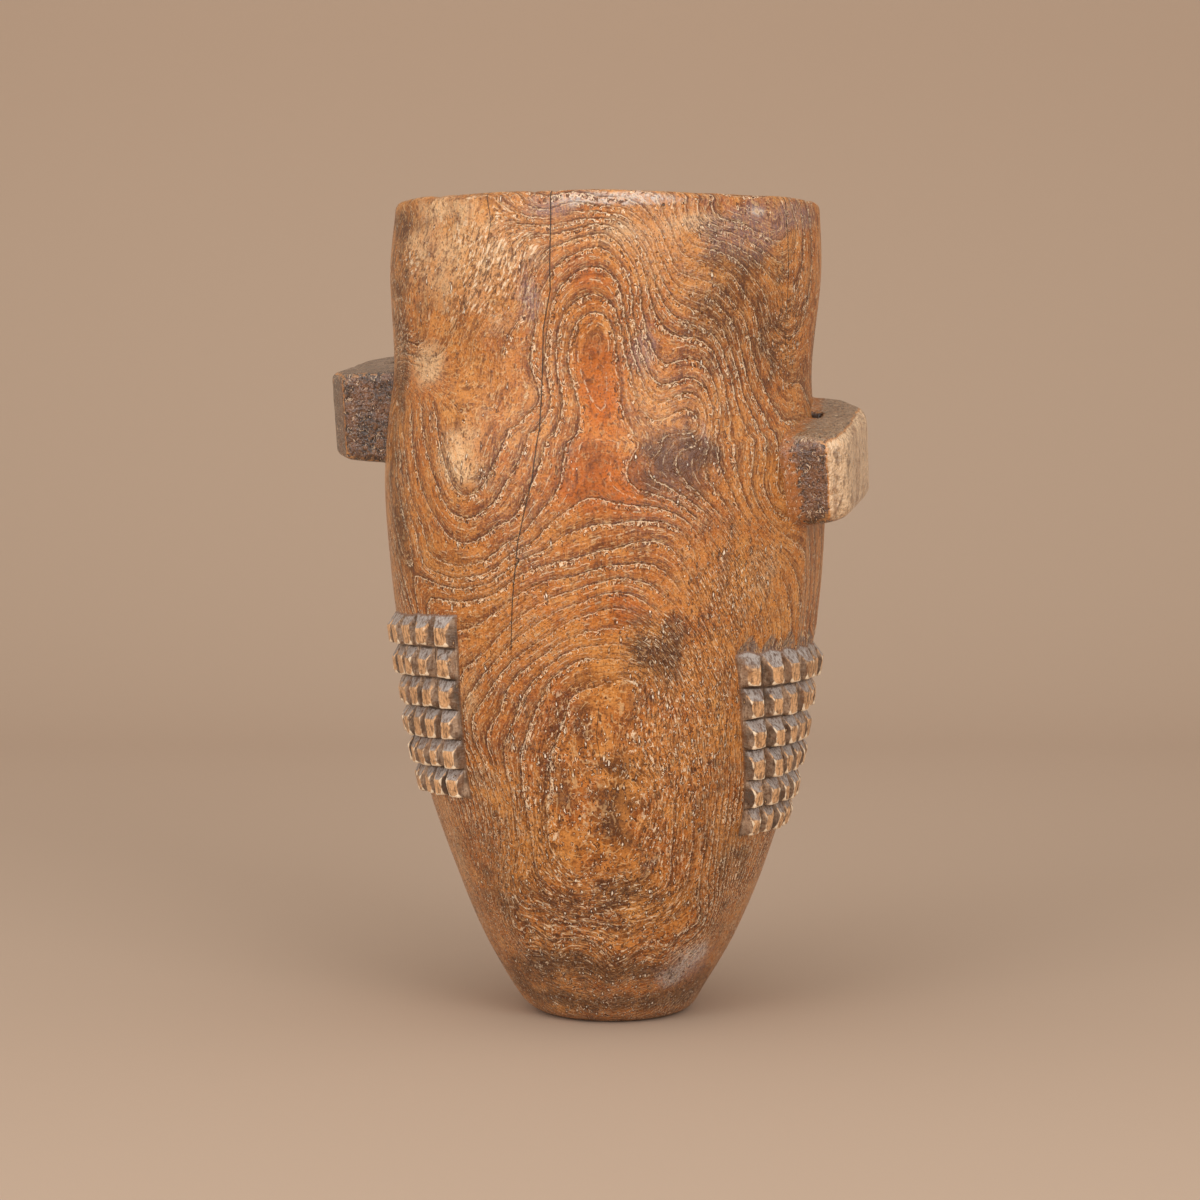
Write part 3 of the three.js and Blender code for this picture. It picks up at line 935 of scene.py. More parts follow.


# Stains, wear and painted sheen on the front: pixel, half-width and half-height in pixels, and strength
STAINS = {
    "cream": [
        (445, 255, 52, 62, 0.55), (425, 365, 16, 22, 0.9), (458, 452, 30, 40, 0.5),
        (457, 464, 10, 22, 0.9), (705, 222, 30, 11, 0.9), (440, 208, 26, 9, 0.7), (412, 240, 10, 12, 0.5),
        (640, 232, 26, 14, 0.3), (760, 575, 28, 46, 0.3), (452, 840, 12, 60, 0.4),
        (470, 680, 14, 60, 0.35), (600, 240, 60, 24, 0.25), (500, 300, 30, 60, 0.2),
    ],
    "umber": [
        (657, 652, 32, 32, 0.8), (682, 460, 52, 44, 0.85), (715, 325, 38, 50, 0.6),
        (738, 262, 46, 40, 0.5), (765, 345, 26, 66, 0.45), (566, 962, 46, 13, 0.85),
        (625, 972, 40, 11, 0.8), (571, 1000, 44, 8, 0.75), (664, 1000, 36, 8, 0.75),
        (587, 708, 8, 45, 0.4), (622, 812, 20, 50, 0.6), (590, 905, 70, 40, 0.35), (732, 860, 24, 60, 0.5),
        (400, 520, 10, 70, 0.5), (400, 270, 9, 70, 0.35), (560, 800, 16, 60, 0.25),
        (640, 900, 40, 30, 0.3), (405, 222, 12, 14, 0.7), (430, 300, 14, 20, 0.3), (720, 800, 20, 40, 0.3),
        (398, 400, 9, 160, 0.45), (462, 330, 24, 16, 0.5), (520, 975, 26, 18, 0.6),
        (690, 985, 30, 20, 0.6), (540, 480, 24, 30, 0.25), (610, 740, 40, 60, 0.3),
        (500, 900, 30, 40, 0.3),
    ],
    "amber": [
        (595, 385, 28, 62, 0.9), (600, 487, 64, 36, 0.8), (555, 600, 70, 40, 0.4), (590, 275, 30, 22, 0.5),
        (620, 610, 40, 30, 0.4), (685, 458, 50, 42, 0.7), (560, 700, 40, 50, 0.3), (440, 520, 26, 30, 0.3),
        (690, 640, 30, 70, 0.3),
    ],
    # Purple stains; over the right shoulder the purple-grey is a painted reflection of a lamp
    "plum_and_sheen": [
        (745, 228, 44, 30, 0.8), (795, 215, 22, 16, 0.9), (642, 345, 14, 30, 0.8), (690, 966, 20, 16, 0.9),
        (702, 432, 5, 14, 0.9), (545, 209, 26, 10, 0.8), (528, 296, 13, 26, 0.6), (700, 280, 30, 16, 0.4),
        (590, 990, 90, 26, 0.15), (520, 300, 14, 50, 0.3), (640, 860, 30, 20, 0.2),
    ],
    # A grey film at the foot; the band on the rim and the spot at the right shoulder are a painted reflection
    "bloom_and_sheen": [
        (615, 198, 70, 7, 0.95), (694, 955, 15, 13, 0.9), (672, 979, 14, 10, 0.7), (760, 212, 10, 6, 0.6),
    ],
    "slanted": [
        (450, 262, 56, 66, 0.95), (500, 250, 30, 40, 0.6), (590, 225, 40, 14, 0.3),
    ],
    "pitted": [
        (445, 265, 60, 70, 0.8), (600, 800, 90, 110, 0.9), (740, 580, 50, 70, 0.7),
        (700, 720, 50, 90, 0.9), (660, 650, 30, 30, 0.9), (600, 940, 110, 60, 0.9),
        (600, 995, 120, 34, 0.9), (790, 330, 24, 90, 0.7), (402, 330, 12, 100, 0.6),
        (460, 450, 50, 50, 0.5), (480, 860, 40, 80, 0.6), (710, 225, 36, 14, 0.9), (700, 460, 30, 40, 0.3),
    ],
    "figureless": [
        (705, 690, 55, 130, 1.0), (625, 790, 40, 90, 0.8), (745, 570, 44, 60, 0.8),
        (655, 650, 30, 30, 0.7), (560, 215, 20, 10, 0.5), (700, 225, 30, 14, 0.8),
        (600, 985, 110, 34, 0.9), (780, 320, 20, 90, 0.5), (600, 895, 90, 40, 0.6),
        (440, 270, 60, 80, 0.95), (424, 384, 34, 20, 1.0), (480, 380, 30, 50, 0.5),
        (470, 860, 40, 60, 0.6),
    ],
}


def stain_spots(stains):
    """Each stain's place, its half-width round the wall and half-height in millimetres, and strength."""
    x, y, wide, tall, strength = np.array(stains, float).T
    turn, z = spots(np.stack([x, y], -1)).T
    left, right = (spots(np.stack([x + side * wide, y], -1))[:, 0] for side in (-1, 1))
    top, foot = (spots(np.stack([x, y + side * tall], -1))[:, 1] for side in (-1, 1))
    return turn, z, arc_length(right - left) / 2, (top - foot) / 2, strength


def stain_field(points, stains):
    turn, _, z = on_wall(points)
    clear = np.ones(len(points))
    for *place, strength in zip(*stain_spots(stains)):
        clear *= 1 - strength * hump(turn, z, *place)
    return 1 - clear


# Worm holes and knocks: pixel, and radius in millimetres
PITS = [
    (633, 780, 1.1), (662, 766, 0.6), (563, 820, 0.8), (551, 709, 0.6), (663, 205, 1.0), (497, 211, 0.5),
    (458, 258, 0.5), (446, 261, 0.4), (601, 760, 0.5), (590, 900, 0.6), (740, 520, 0.5), (520, 700, 0.5),
]

# Drying cracks, in pixels from the rim down, with their widths in millimetres
CRACKS = {
    "main": (0.6, [
        (551, 188), (551, 215), (549, 290), (541, 330), (535, 430), (530, 480), (517, 540),
        (512, 600), (511, 660), (512, 690),
    ]),
    "left check": (0.5, [(487, 196), (491, 222), (484, 262), (486, 280)]),
    "crown check": (0.6, [(521, 300), (518, 318), (519, 352)]),
    "waist check": (0.45, [(556, 395), (551, 430), (547, 470)]),
    "right check": (0.5, [(786, 200), (788, 250), (784, 330), (787, 380)]),
    "low check": (0.4, [(601, 690), (597, 735), (603, 770), (600, 800)]),
}
# Cracks at the back: degrees from the front, lower and upper end and width in millimetres
BACK_CRACKS = [(164, 250, 438, 0.9), (-140, 30, 190, 0.5), (121, 330, 436, 0.5)]
FAR_OFF = 99.0


def crack_side(points):
    """Distance from the nearest crack, over the crack's half-width there, with a sign for its side."""
    turn, _, z = on_wall(points)
    lines = [(width, *spots(pixels).T) for width, pixels in CRACKS.values()]
    for at, low, high, width in BACK_CRACKS:
        heights = np.linspace(high, low, 9)
        lines.append((width, at + 1.6 * np.sin(heights / 21) + 0.8 * np.sin(heights / 7), heights))
    nearest = np.full(len(points), FAR_OFF)
    for width, at, height in lines:
        off = arc_length(half_turn(turn - np.interp(z, height[::-1], at[::-1])))
        ends = smooth_step(z, height[-1] - 1, height[-1] + 45)
        if height[0] < HEIGHT / MM - 12:
            ends = ends * (1 - smooth_step(z, height[0] - 20, height[0] + 1))
        side = off / (width / 2 * np.maximum(ends, 0.02))
        nearest = np.where(np.abs(side) < np.abs(nearest), side, nearest)
    return np.clip(nearest, -FAR_OFF, FAR_OFF)


def mark_wood(piece):
    """Marks the piece's points with the ring, a ring's width there, the stains and the surface's bends."""
    mesh = piece.data
    points = read_points(mesh)
    normals = read_normals(mesh).astype(float)
    near, far = read_rows(mesh.edges, "vertices", 2, np.int32).T
    ring = ring_count(points)
    apart = np.maximum(np.linalg.norm(points[near] - points[far], axis=-1), 1e-6)
    steep = np.abs(ring[near] - ring[far]) / apart * MM
    steepest = np.zeros(len(points))
    np.maximum.at(steepest, near, steep)
    np.maximum.at(steepest, far, steep)
    bend = np.sum(normals[far] * (points[far] - points[near]), -1) / apart**2
    bend += np.sum(normals[near] * (points[near] - points[far]), -1) / apart**2
    ridge = np.zeros(len(points))
    links = np.zeros(len(points))
    for end in (near, far):
        np.add.at(ridge, end, bend)
        np.add.at(links, end, 1)
    write_attribute(mesh, "ring", ring)
    write_attribute(mesh, "ring_width", 1 / np.maximum(steepest, 0.03))
    write_attribute(mesh, "ridge", ridge / np.maximum(links, 1) * 2 * MM)
    write_attribute(mesh, "crack", crack_side(points))
    azimuth, _, z = round_axis(points)
    write_attribute(mesh, "scooped", scoops(azimuth, z) / -SCOOP_DEPTH)
    for name, stains in STAINS.items():
        write_attribute(mesh, name, stain_field(points, stains))


# Wood. A paint is a screen colour, 0 to 255.
PALE = (250, 220, 182)
CREAM = (236, 190, 134)
AMBER = (202, 103, 20)
# UMBER also paints the shade beside the rings' pale lines and beside the hairlines
UMBER = (84, 46, 20)
# Purple-grey of stains, and of the painted reflection over the right shoulder
PLUM_AND_SHEEN = (140, 108, 104)
# Grey of dust and of a painted sheen on upward faces
DUST_AND_SHEEN = (186, 174, 166)
# Dark of cracks and pits, also used for painted shade in the slot, the boss grooves and beside hairlines
GRIME_AND_SHADE = (52, 36, 26)
SHINE = 0.38
COAT_ROUGHNESS = 0.14


def linear(paint):
    """A paint as the shader's linear values."""
    values = [c / 255 for c in paint]
    return (*[c / 12.92 if c <= 0.04045 else ((c + 0.055) / 1.055) ** 2.4 for c in values], 1.0)


class Shade(Tree):
    """A tree of shading nodes, with the few joins that wood needs."""

    def noise(self, vector, scale, detail=2.0, rough=0.5, distortion=0.0, output="Fac"):
        inputs = {"Vector": vector, "Scale": scale, "Detail": detail, "Roughness": rough}
        return self.node("ShaderNodeTexNoise", {**inputs, "Distortion": distortion}).outputs[output]

    def stretch(self, vector, along):
        """The places, drawn out along the grain."""
        return self.vector("MULTIPLY", vector, (1.0, 1.0, along))

    def ramp(self, value, low, high, out_low=0.0, out_high=1.0):
        """Runs smoothly from one value to another as the input goes from low to high."""
        inputs = {"Value": value, "From Min": low, "From Max": high, "To Min": out_low, "To Max": out_high}
        return self.node("ShaderNodeMapRange", inputs, interpolation_type="SMOOTHSTEP").outputs["Result"]

    def mix(self, share, first, second):
        """Mixes two colours, each a paint or a socket."""
        made = self.node("ShaderNodeMix", data_type="RGBA")
        for key, value in ((0, share), (6, first), (7, second)):
            self.feed(made.inputs[key], linear(value) if isinstance(value, tuple) else value)
        return made.outputs[2]

    def field(self, name):
        return self.node("ShaderNodeAttribute", attribute_name=name, attribute_type="GEOMETRY").outputs["Fac"]

    def either(self, a, b):
        return self.math("MAXIMUM", a, b)

    def line(self, value, middle, outer, inner):
        """Runs from 0 to 1 as a value comes from outer to inner of a middle, from either side."""
        return self.ramp(self.math("ABSOLUTE", self.minus(value, middle)), outer, inner)

    def swing(self, noise, amount):
        """A noise of 0 to 1 as a swing about nought."""
        return self.times(self.minus(noise, 0.5), amount)


class WoodShade(Shade):
    """The masks that every piece of the log shares: rings, flecks, fibres, cracks and stains."""

    def __init__(self, name):
        self.material = bpy.data.materials.new(name)
        self.material.use_nodes = True
        self.material.node_tree.nodes.clear()
        super().__init__(self.material.node_tree)
        self.colour = None
        self.place = self.node("ShaderNodeTexCoord").outputs["Object"]
        self.slow = self.noise(self.place, 24.0, 3.0)
        self.mid = self.noise(self.place, 80.0, 3.0)
        self.fine = self.noise(self.place, 360.0, 2.0)
        self.mottle = self.noise(self.place, 900.0, 2.0, 0.6)
        self.fibre = self.noise(self.stretch(self.place, 0.09), 800.0, 2.0, 0.6)
        self.streak = self.noise(self.stretch(self.place, 0.14), 170.0, 3.0, 0.6)

    def uneven(self, value, amount):
        """The value, shaken by the middle noise so that its border wanders."""
        return self.plus(value, self.swing(self.mid, amount))

    def blotch(self, name, shake, low, high, least=0.0, most=1.0):
        """A field of the wood with a wandering border, run from low to high."""
        return self.ramp(self.uneven(self.field(name), shake), low, high, least, most)

    def lay(self, paint, *shares):
        """Lays a paint over the colour so far, as strongly as the product of the shares."""
        self.colour = self.mix(self.times(*shares), self.colour, paint)

    def wash(self, paint, value, low, high, most):
        """Lays a paint over the colour so far, where a value runs from low to high."""
        self.lay(paint, self.ramp(value, low, high, 0.0, most))

    # How far the surface faces up: it sets the painted sheen on tops and the painted shade beneath
    def upward(self):
        normal = self.node("ShaderNodeNewGeometry").outputs["Normal"]
        return self.node("ShaderNodeSeparateXYZ", {"Vector": normal}).outputs["Z"]

    def rings(self):
        """A ring's pores, the painted shade along one side of them, the late wood before them and the band
        round them.
        """
        width = self.field("ring_width")
        shake = self.plus(self.swing(self.mid, 2.4), self.swing(self.fine, 2.2), self.swing(self.mottle, 0.9))
        count = self.plus(self.field("ring"), self.math("DIVIDE", shake, width))
        side = self.times(self.minus(self.math("FRACT", self.plus(count, 0.5)), 0.5), width)
        lost = self.blotch("figureless", 1.0, 0.15, 0.65, 1.0, 0.08)
        faint = self.times(self.ramp(self.uneven(self.slow, 0.9), 0.3, 0.6, 0.5, 1.0), lost)
        pores = self.noise(self.place, 640.0, 1.0)
        core = self.times(self.line(side, 0.0, 0.42, 0.13), self.ramp(pores, 0.4, 0.54))
        between = self.plus(self.swing(self.math("FRACT", count), width), self.swing(self.slow, 5.0))
        second = self.times(self.line(between, 0.0, 0.4, 0.12), self.ramp(self.fine, 0.46, 0.56))
        second = self.times(second, self.ramp(width, 3.0, 6.0, 0.0, 0.6))
        core = self.times(self.either(core, second), self.ramp(width, 1.2, 3.2, 0.45, 1.0))
        # Painted shade along one side of each ring's pale line
        edge = self.times(self.line(side, -0.75, 0.6, 0.2), self.ramp(pores, 0.66, 0.42, 0.2, 1.0))
        away = self.ramp(self.math("ABSOLUTE", side), 0.2, 0.7, 0.6, 1.0)
        patchy = self.ramp(self.slow, 0.3, 0.55, 0.45, 1.0)
        late = self.times(self.ramp(self.math("FRACT", count), 0.42, 0.95), away, patchy)
        band = self.times(self.line(side, 1.3, 1.5, 0.7), faint)
        return self.times(core, faint), self.times(edge, faint), self.times(late, lost), band

    def along_rings(self, scale, to_a_ring):
        """Lumps drawn out along the rings, and how many of them a ring holds."""
        depth = self.times(self.field("ring"), to_a_ring / scale)
        inputs = {"Vector": self.place, "W": depth, "Scale": scale, "Detail": 2.0}
        return self.node("ShaderNodeTexNoise", inputs, noise_dimensions="4D").outputs["Fac"]

    def dashes(self, scale, reach, share):
        """Short pits along the grain: their pale middles, also used as painted glints, and dark rims. Share
        is how many places hold one.
        """
        shift = self.vector("SCALE", self.noise(self.place, 210.0, 1.0, output="Color"), scale=0.0022)
        along = self.stretch(self.vector("ADD", self.place, shift), reach)
        cells = self.node("ShaderNodeTexVoronoi", {"Vector": along, "Scale": scale}, feature="F1")
        off = cells.outputs["Distance"]
        luck = self.node("ShaderNodeSeparateColor", {"Color": cells.outputs["Color"]}).outputs["Red"]
        here = self.math("GREATER_THAN", share, luck)
        return self.times(self.ramp(off, 0.17, 0.08), here), self.times(self.line(off, 0.24, 0.1, 0.03), here)

    def hairlines_lit_and_shaded(self, share):
        """Curled weathered hairlines, each a painted highlight beside a painted shade standing in for light
        on its relief.
        """
        curl = self.noise(self.stretch(self.place, 0.55), 300.0, 2.0, 0.5, 0.9)
        border = self.plus(0.24, self.times(share, 0.5))
        here = self.ramp(self.minus(self.fine, border), 0.02, -0.04)
        pale = self.line(curl, 0.53, 0.028, 0.008)
        dark = self.line(curl, 0.47, 0.045, 0.012)
        return self.times(pale, here), self.times(dark, here)

    def pits(self):
        """Small dark holes, each a spot round its place on the wall."""
        found = 0.0
        for x, y, size in PITS:
            turn, z = spots([(x, y)])[0]
            at = outer_point(np.array(turn + FRONT), np.array(z * MM))
            away = self.vector("LENGTH", self.vector("SUBTRACT", self.place, tuple(at)))
            away = self.plus(away, self.swing(self.fine, 1.2 * MM))
            found = self.either(found, self.ramp(away, size * MM, size * 0.5 * MM))
        return found

    def crack(self):
        return self.line(self.uneven(self.field("crack"), 1.4), 0.0, 1.3, 0.7)

    def emboss(self, noises, masks):
        """The relief in millimetres: noises swing it up and down, and masks raise or sink it."""
        relief = 0.0
        for noise, height in noises:
            relief = self.plus(relief, self.swing(noise, height))
        for mask, height in masks:
            relief = self.plus(relief, self.times(mask, height))
        return relief

    def finish(self, relief, rough_low, rough_high, coat):
        """Joins the colour, the relief in millimetres, an uneven polish and a gloss into the material."""
        bump = self.node("ShaderNodeBump", {"Strength": 1.0, "Distance": MM, "Height": relief}).outputs[0]
        shader = self.node("ShaderNodeBsdfPrincipled", {
            "Base Color": self.colour,
            "Roughness": self.ramp(self.uneven(self.slow, 0.8), 0.25, 0.75, rough_low, rough_high),
            "Specular IOR Level": SHINE,
            "Normal": bump,
            "Coat Weight": coat,
            "Coat Roughness": COAT_ROUGHNESS,
            "Coat Normal": bump,
        })
        self.node("ShaderNodeOutputMaterial", {"Surface": shader.outputs[0]})
        return self.material


def oiled_wood():
    """The pail's wall: rings, pores and flecks under an old brown polish."""
    t = WoodShade("oiled_wood")
    core, edge, late, band = t.rings()
    threads = t.along_rings(110.0, 8.0)
    shreds = t.along_rings(270.0, 11.0)
    pitted = t.blotch("pitted", 0.8, 0.15, 0.8, 0.04, 0.66)
    slanted = t.blotch("slanted", 0.6, 0.2, 0.6)
    loose = t.times(pitted, t.minus(1.0, t.times(slanted, 0.7)))
    middle, rim = t.dashes(360.0, 0.3, t.times(loose, 0.8))
    small, small_rim = t.dashes(620.0, 0.4, t.times(loose, 0.8))
    pale, dark = t.hairlines_lit_and_shaded(t.either(t.times(loose, 0.6), t.times(band, 0.8)))
    combed = t.times(t.line(threads, 0.5, 0.035, 0.012), t.ramp(t.fine, 0.42, 0.55))
    width = t.field("ring_width")
    drawn = t.times(t.ramp(width, 30.0, 20.0), t.ramp(width, 1.5, 3.5))
    torn = t.times(t.either(slanted, t.ramp(pitted, 0.1, 0.5)), drawn)
    sparse = t.times(t.minus(1.0, slanted), 0.035)
    shred = t.times(t.ramp(t.minus(shreds, sparse), 0.565, 0.62), torn)
    shred_shade = t.times(t.ramp(shreds, 0.45, 0.38), torn)
    amber = t.uneven(t.field("amber"), 0.8)
    calm = t.ramp(amber, 0.15, 0.8, 1.0, 0.3)
    bloom_and_sheen = t.blotch("bloom_and_sheen", 0.9, 0.15, 0.7)
    cracked = t.either(t.crack(), t.pits())

    # Broad patches and stains, with painted sheen on the rim and the right shoulder
    t.colour = t.mix(t.ramp(t.slow, 0.3, 0.7), (203, 129, 56), (180, 97, 30))
    t.wash((128, 72, 34), t.uneven(t.slow, 0.7), 0.52, 0.74, 0.45)
    t.wash((142, 80, 36), t.mid, 0.52, 0.7, 0.6)
    t.wash((228, 160, 88), t.mid, 0.46, 0.3, 0.5)
    t.wash(AMBER, amber, 0.15, 0.8, 0.9)
    t.lay((242, 198, 148), t.blotch("cream", 0.9, 0.1, 0.75), 0.85)
    t.wash((112, 62, 28), t.streak, 0.48, 0.78, 0.5)
    t.lay((104, 52, 20), late, t.ramp(amber, 0.3, 0.8, 0.85, 0.3))
    t.lay(UMBER, t.blotch("umber", 1.1, 0.12, 0.75), 0.9)
    # Purple stains, and the painted reflection over the right shoulder
    t.lay(PLUM_AND_SHEEN, t.blotch("plum_and_sheen", 1.0, 0.15, 0.75), 0.85)
    # Grey film at the foot, and painted reflection on the rim and at the right shoulder
    t.lay((226, 220, 214), bloom_and_sheen, t.ramp(t.fine, 0.4, 0.58, 0.3, 0.9))
    t.lay((116, 104, 96), t.blotch("scooped", 0.3, 0.08, 0.3), 0.9)
    # Flecks, threads and fibres
    t.wash((104, 54, 20), t.fine, 0.51, 0.68, 0.65)
    t.wash((84, 44, 18), t.mottle, 0.5, 0.72, 0.75)
    t.lay((232, 158, 84), t.ramp(t.mottle, 0.46, 0.28), calm, 0.5)
    t.wash((98, 50, 20), threads, 0.53, 0.68, 0.5)
    t.lay((228, 154, 82), t.ramp(threads, 0.45, 0.34), calm, 0.3)
    t.lay((228, 152, 78), t.ramp(t.fibre, 0.52, 0.72), calm, 0.35)
    # The rings' painted shade, torn fibres, pits and pores, and the hairlines' painted shade and highlights
    t.lay(UMBER, edge, t.ramp(t.slow, 0.35, 0.6, 0.3, 0.75))
    t.lay(UMBER, t.either(rim, small_rim), 0.8)
    # Painted shade on one side of each hairline
    t.lay(UMBER, dark, 0.85)
    t.lay(CREAM, combed, calm, 0.5)
    t.lay(UMBER, shred_shade, 0.65)
    t.lay(PALE, shred, 0.75)
    # Painted highlight on the other side of each hairline
    t.lay(PALE, pale, calm, 0.85)
    t.lay((84, 50, 24), t.blotch("umber", 1.8, 0.3, 0.8), 0.3)
    # Pale pit middles, drawn near white as painted glints
    t.lay((255, 238, 214), t.either(middle, small), 0.95)
    t.lay(PALE, core, 0.8)
    t.wash((214, 166, 112), t.field("ridge"), 0.12, 0.4, 0.5)
    t.lay(GRIME_AND_SHADE, cracked, 0.85)

    raised = t.either(core, shred)
    sunk = t.either(dark, shred_shade)
    relief = t.emboss(
        [(t.mottle, 0.4), (t.fine, 0.5), (t.mid, 0.9)],
        [(raised, 0.15), (edge, -0.3), (rim, -0.2), (sunk, -0.25), (late, -0.12), (cracked, -0.6)],
    )
    return t.finish(relief, 0.28, 0.46, 0.14)


def handled_wood():
    """The lugs: dark with handling, pale where the edges are rubbed, grey on top with dust and painted sheen,
    with painted shade beneath and in the slot, and painted glints.
    """
    t = WoodShade("handled_wood")
    up = t.upward()
    blended = t.field("blended")
    flow = t.along_rings(110.0, 5.0)
    middle, rim = t.dashes(420.0, 0.5, t.ramp(t.mid, 0.3, 0.7, 0.35, 0.8))
    pale, dark = t.hairlines_lit_and_shaded(0.42)
    edge = t.plus(t.uneven(t.field("rubbed"), 1.0), t.swing(t.fine, 1.0))
    rubbed = t.ramp(edge, 0.3, 0.6)
    near_rubbed = t.ramp(t.field("rubbed"), 0.0, 0.1, 0.35, 1.0)
    shaken = t.plus(t.uneven(t.field("root"), 1.4), t.swing(t.fine, 1.8))
    root = t.times(t.ramp(shaken, 0.2, 0.9), t.ramp(t.field("root"), 0.0, 0.1))
    bare = t.minus(1.0, t.times(t.either(t.times(rubbed, blended), root), 0.85))
    worn = t.times(t.ramp(t.uneven(t.field("ridge"), 0.35), 0.16, 0.34), t.ramp(t.fine, 0.44, 0.58))

    t.colour = t.mix(t.ramp(t.mid, 0.35, 0.65), (122, 80, 54), (54, 36, 28))
    t.wash((98, 80, 84), t.uneven(t.slow, 0.8), 0.5, 0.75, 0.4)
    # Tops: grey dust and a painted sheen of light from above
    t.wash(t.mix(blended, (80, 68, 58), (166, 134, 100)), up, 0.3, 0.8, 0.75)
    # Painted shade on the undersides
    t.wash((74, 54, 28), up, -0.3, -0.8, 0.6)
    t.lay(t.mix(blended, (122, 100, 82), (252, 210, 164)), rubbed, 0.85)
    t.lay((206, 130, 54), t.ramp(edge, 0.12, 0.3), t.ramp(edge, 0.8, 0.55), near_rubbed, 0.8)
    t.lay((178, 106, 48), root, 0.9)
    t.wash((112, 74, 44), t.fine, 0.52, 0.7, 0.6)
    t.wash((98, 64, 40), flow, 0.54, 0.68, 0.6)
    t.wash((134, 88, 52), t.fibre, 0.5, 0.7, 0.5)
    t.lay((52, 34, 24), t.ramp(t.mottle, 0.52, 0.74), bare, 0.75)
    # Pale specks as painted glints, stronger on upward faces
    t.lay((204, 166, 128), t.ramp(t.mottle, 0.46, 0.28), t.ramp(up, 0.2, 0.7, 0.4, 0.65))
    t.lay((126, 74, 34), t.ramp(t.streak, 0.5, 0.66), t.either(rubbed, root), 0.55)
    t.lay((222, 154, 88), worn, t.ramp(blended, 0.0, 1.0, 0.5, 0.75))
    # Dark pit rims, and the hairlines' painted shade
    t.lay(GRIME_AND_SHADE, t.either(rim, dark), bare, 0.8)
    # Pit middles as painted glints, and the hairlines' painted highlight
    t.lay((230, 196, 160), t.either(middle, pale), 0.75)
    # Painted shade in the slot
    t.lay(GRIME_AND_SHADE, t.field("slot"), 0.95)

    relief = t.emboss([(t.mottle, 0.6), (t.fine, 1.2), (flow, 0.4)], [(t.either(rim, dark), -0.3)])
    relief = t.times(relief, t.ramp(root, 0.0, 1.0, 1.0, 0.4))
    return t.finish(relief, 0.16, 0.36, t.ramp(root, 0.0, 1.0, 0.9, 0.15))


def worn_wood():
    """The bosses: tan faces, grey tops of dust and painted sheen, pale rubbed edges and painted shade in the
    grooves.
    """
    t = WoodShade("worn_wood")
    up = t.upward()
    proud = t.field("proud")
    among = t.field("among")
    face = t.blotch("facing", 0.25, 0.7, 0.86)
    middle, rim = t.dashes(420.0, 0.4, t.ramp(t.mid, 0.3, 0.7, 0.1, 0.5))

    t.colour = t.mix(t.ramp(t.mid, 0.35, 0.65), (178, 146, 118), (92, 74, 60))
    # Upward facets: grey dust and a painted sheen of light from above
    t.wash(DUST_AND_SHEEN, t.uneven(up, 0.3), 0.22, 0.45, 0.9)
    t.lay((236, 180, 126), face, t.ramp(proud, 2.4, 3.2), t.ramp(up, 0.42, 0.26), 0.95)
    t.wash((104, 68, 42), t.fine, 0.52, 0.7, 0.65)
    t.wash((96, 66, 44), t.fibre, 0.48, 0.66, 0.7)
    t.wash((120, 76, 44), t.streak, 0.5, 0.7, 0.5)
    t.wash((72, 50, 36), t.mottle, 0.54, 0.74, 0.5)
    t.lay(UMBER, rim, 0.5)
    t.lay(CREAM, middle, 0.5)
    # Painted shade, darker low down in the grooves round and between the bosses
    t.lay((124, 78, 42), t.ramp(proud, 1.0, 0.5), t.minus(1.0, among), 0.7)
    t.lay(GRIME_AND_SHADE, t.ramp(t.uneven(proud, 0.6), 1.1, 0.6), among, 0.75)
    t.lay((255, 230, 196), t.blotch("ridge", 0.3, 0.38, 0.58), t.ramp(proud, 1.4, 2.2), 0.9)

    relief = t.emboss([(t.mottle, 0.45), (t.fine, 0.9)], [(rim, -0.15)])
    return t.finish(relief, 0.32, 0.52, 0.2)


def finish_piece(piece, node):
    mark_wood(piece)
    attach(piece, "root")
    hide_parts(node)


finish_piece(make_body(oiled_wood()), "pail_body")
raising = boss_tree()
boss_finish = worn_wood()
for number, (name, field) in enumerate(FIELDS.items()):
    bosses = make_bosses(name, field, raising, SEED + number, boss_finish)
    finish_piece(bosses, field["node"])
lug_finish = handled_wood()
for name, lug in LUGS.items():
    finish_piece(make_lug(name, lug, lug_finish), lug["node"])


# Floor, light and camera
BACKDROP = (199, 172, 148)
STUDIO_FLOOR = (187, 161, 138)
FLOOR_REACH = 3.0
SWEEP_START = 1.2
SWEEP_RADIUS = 0.8
SWEEP_TOP = 3.0
LAMP_AIM = (0, 0, 0.22)
# Place, size and watts
LAMPS = {
    "overhead_box": ((0.0, -0.6, 1.8), (2.2, 2.0), 12.5),
    "left_box": ((-0.9, -1.8, 0.75), (1.0, 1.3), 14),
    "right_box": ((1.4, -1.3, 0.9), (1.0, 1.2), 15),
}
STUDIO_AIR = (1.0, 0.98, 0.95, 1)
AIR_STRENGTH = 0.56
SENSOR = 36


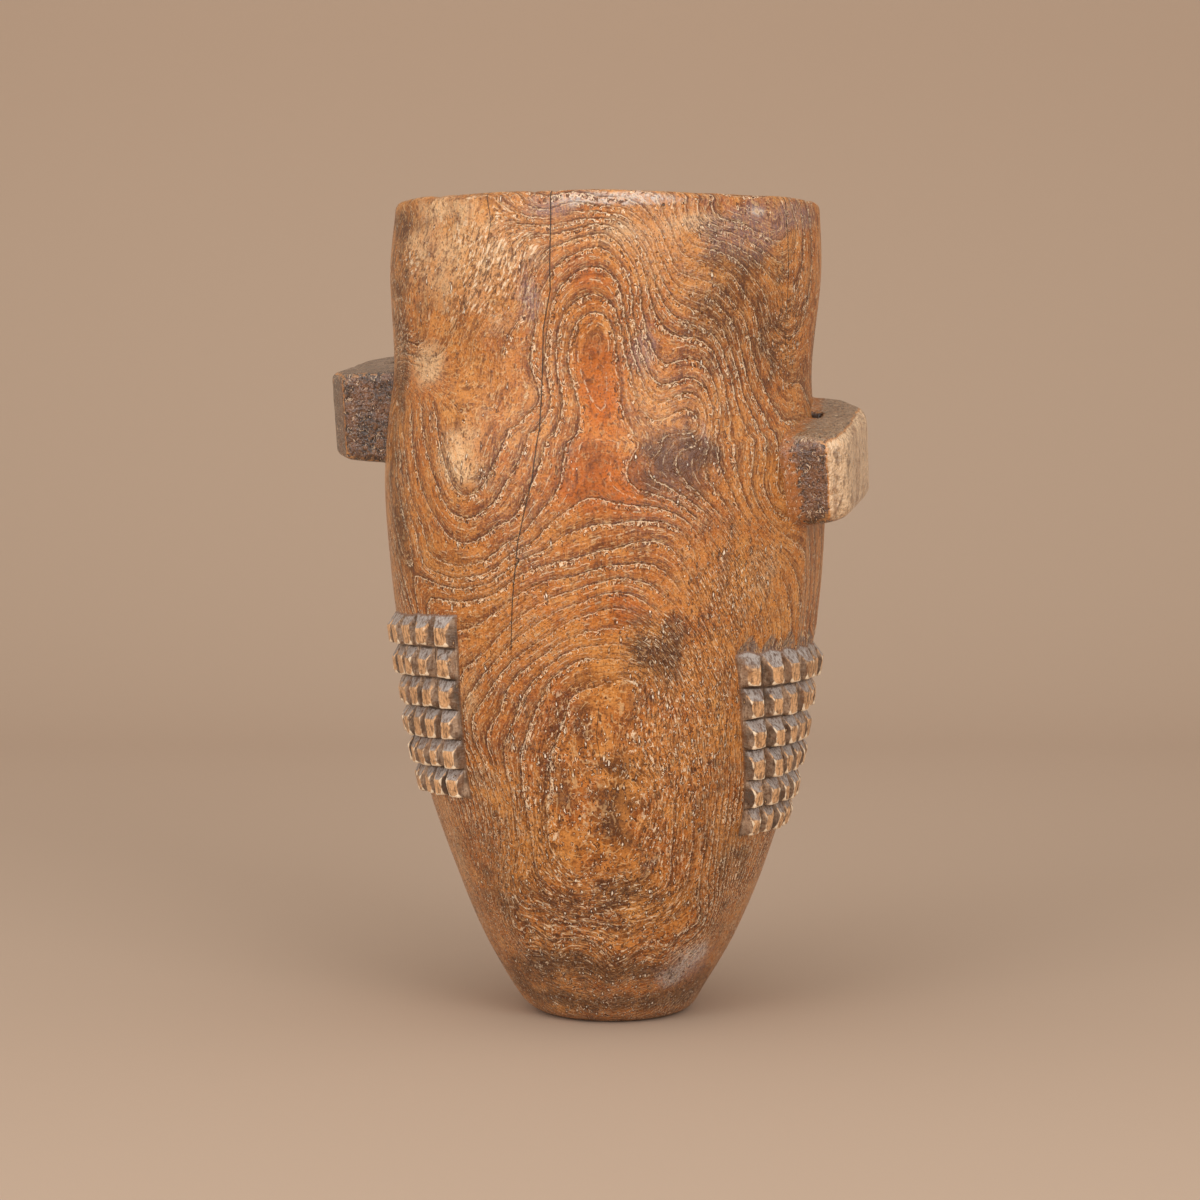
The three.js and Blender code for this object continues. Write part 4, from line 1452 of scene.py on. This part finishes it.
def make_sweep():
    """A floor that curves up into a backdrop, behind the pail as the camera sees it."""
    profile = [(-FLOOR_REACH, 0.0)]
    for angle in np.linspace(0, math.pi / 2, 17):
        back = SWEEP_START + SWEEP_RADIUS * math.sin(angle)
        profile.append((back, SWEEP_RADIUS * (1 - math.cos(angle))))
    profile.append((SWEEP_START + SWEEP_RADIUS, SWEEP_TOP))
    away = Vector((-math.cos(math.radians(FRONT)), -math.sin(math.radians(FRONT)), 0))
    points = []
    for back, height in profile:
        for side in (-FLOOR_REACH, FLOOR_REACH):
            points.append(away * back + RIGHT_HAND * side + Vector((0, 0, height)))
    faces = [(2 * i, 2 * i + 1, 2 * i + 3, 2 * i + 2) for i in range(len(profile) - 1)]
    sweep = new_object("sweep", points, [], faces)
    smooth_faces(sweep.data)
    paper = bpy.data.materials.new("backdrop_paper")
    paper.use_nodes = True
    shader = paper.node_tree.nodes["Principled BSDF"]
    tree = Shade(paper.node_tree)
    back = tree.vector("DOT_PRODUCT", tree.node("ShaderNodeTexCoord").outputs["Object"], tuple(away))
    tree.feed(shader.inputs["Base Color"], tree.mix(tree.ramp(back, 0.0, 1.3), STUDIO_FLOOR, BACKDROP))
    shader.inputs["Roughness"].default_value = 0.95
    sweep.data.materials.append(paper)


def soft_box(name, place, size, power):
    light = bpy.data.lights.new(name, "AREA")
    light.shape = "RECTANGLE"
    light.size, light.size_y = size
    light.energy = power
    lamp = add_object(name, light)
    lamp.location = place
    lamp.rotation_euler = (Vector(LAMP_AIM) - Vector(place)).to_track_quat("-Z", "Y").to_euler()


def make_world():
    world = bpy.data.worlds.new("studio")
    world.use_nodes = True
    air = world.node_tree.nodes["Background"].inputs
    air["Color"].default_value = STUDIO_AIR
    air["Strength"].default_value = AIR_STRENGTH
    bpy.context.scene.world = world


def make_camera():
    data = bpy.data.cameras.new("camera")
    data.sensor_width = SENSOR
    data.lens = SENSOR * FOCAL_PIXELS / FRAME_PIXELS
    data.shift_x = -(AXIS_PIXEL - FRAME_PIXELS / 2) / FRAME_PIXELS
    camera = add_object("camera", data)
    camera.location = EYE
    camera.rotation_euler = (math.pi / 2 - CAMERA_PITCH, 0, CAMERA_TURN)
    bpy.context.scene.camera = camera


make_sweep()
for name, (place, size, power) in LAMPS.items():
    soft_box(name, place, size, power)
make_world()
make_camera()
bpy.context.scene.view_settings.view_transform = "Standard"
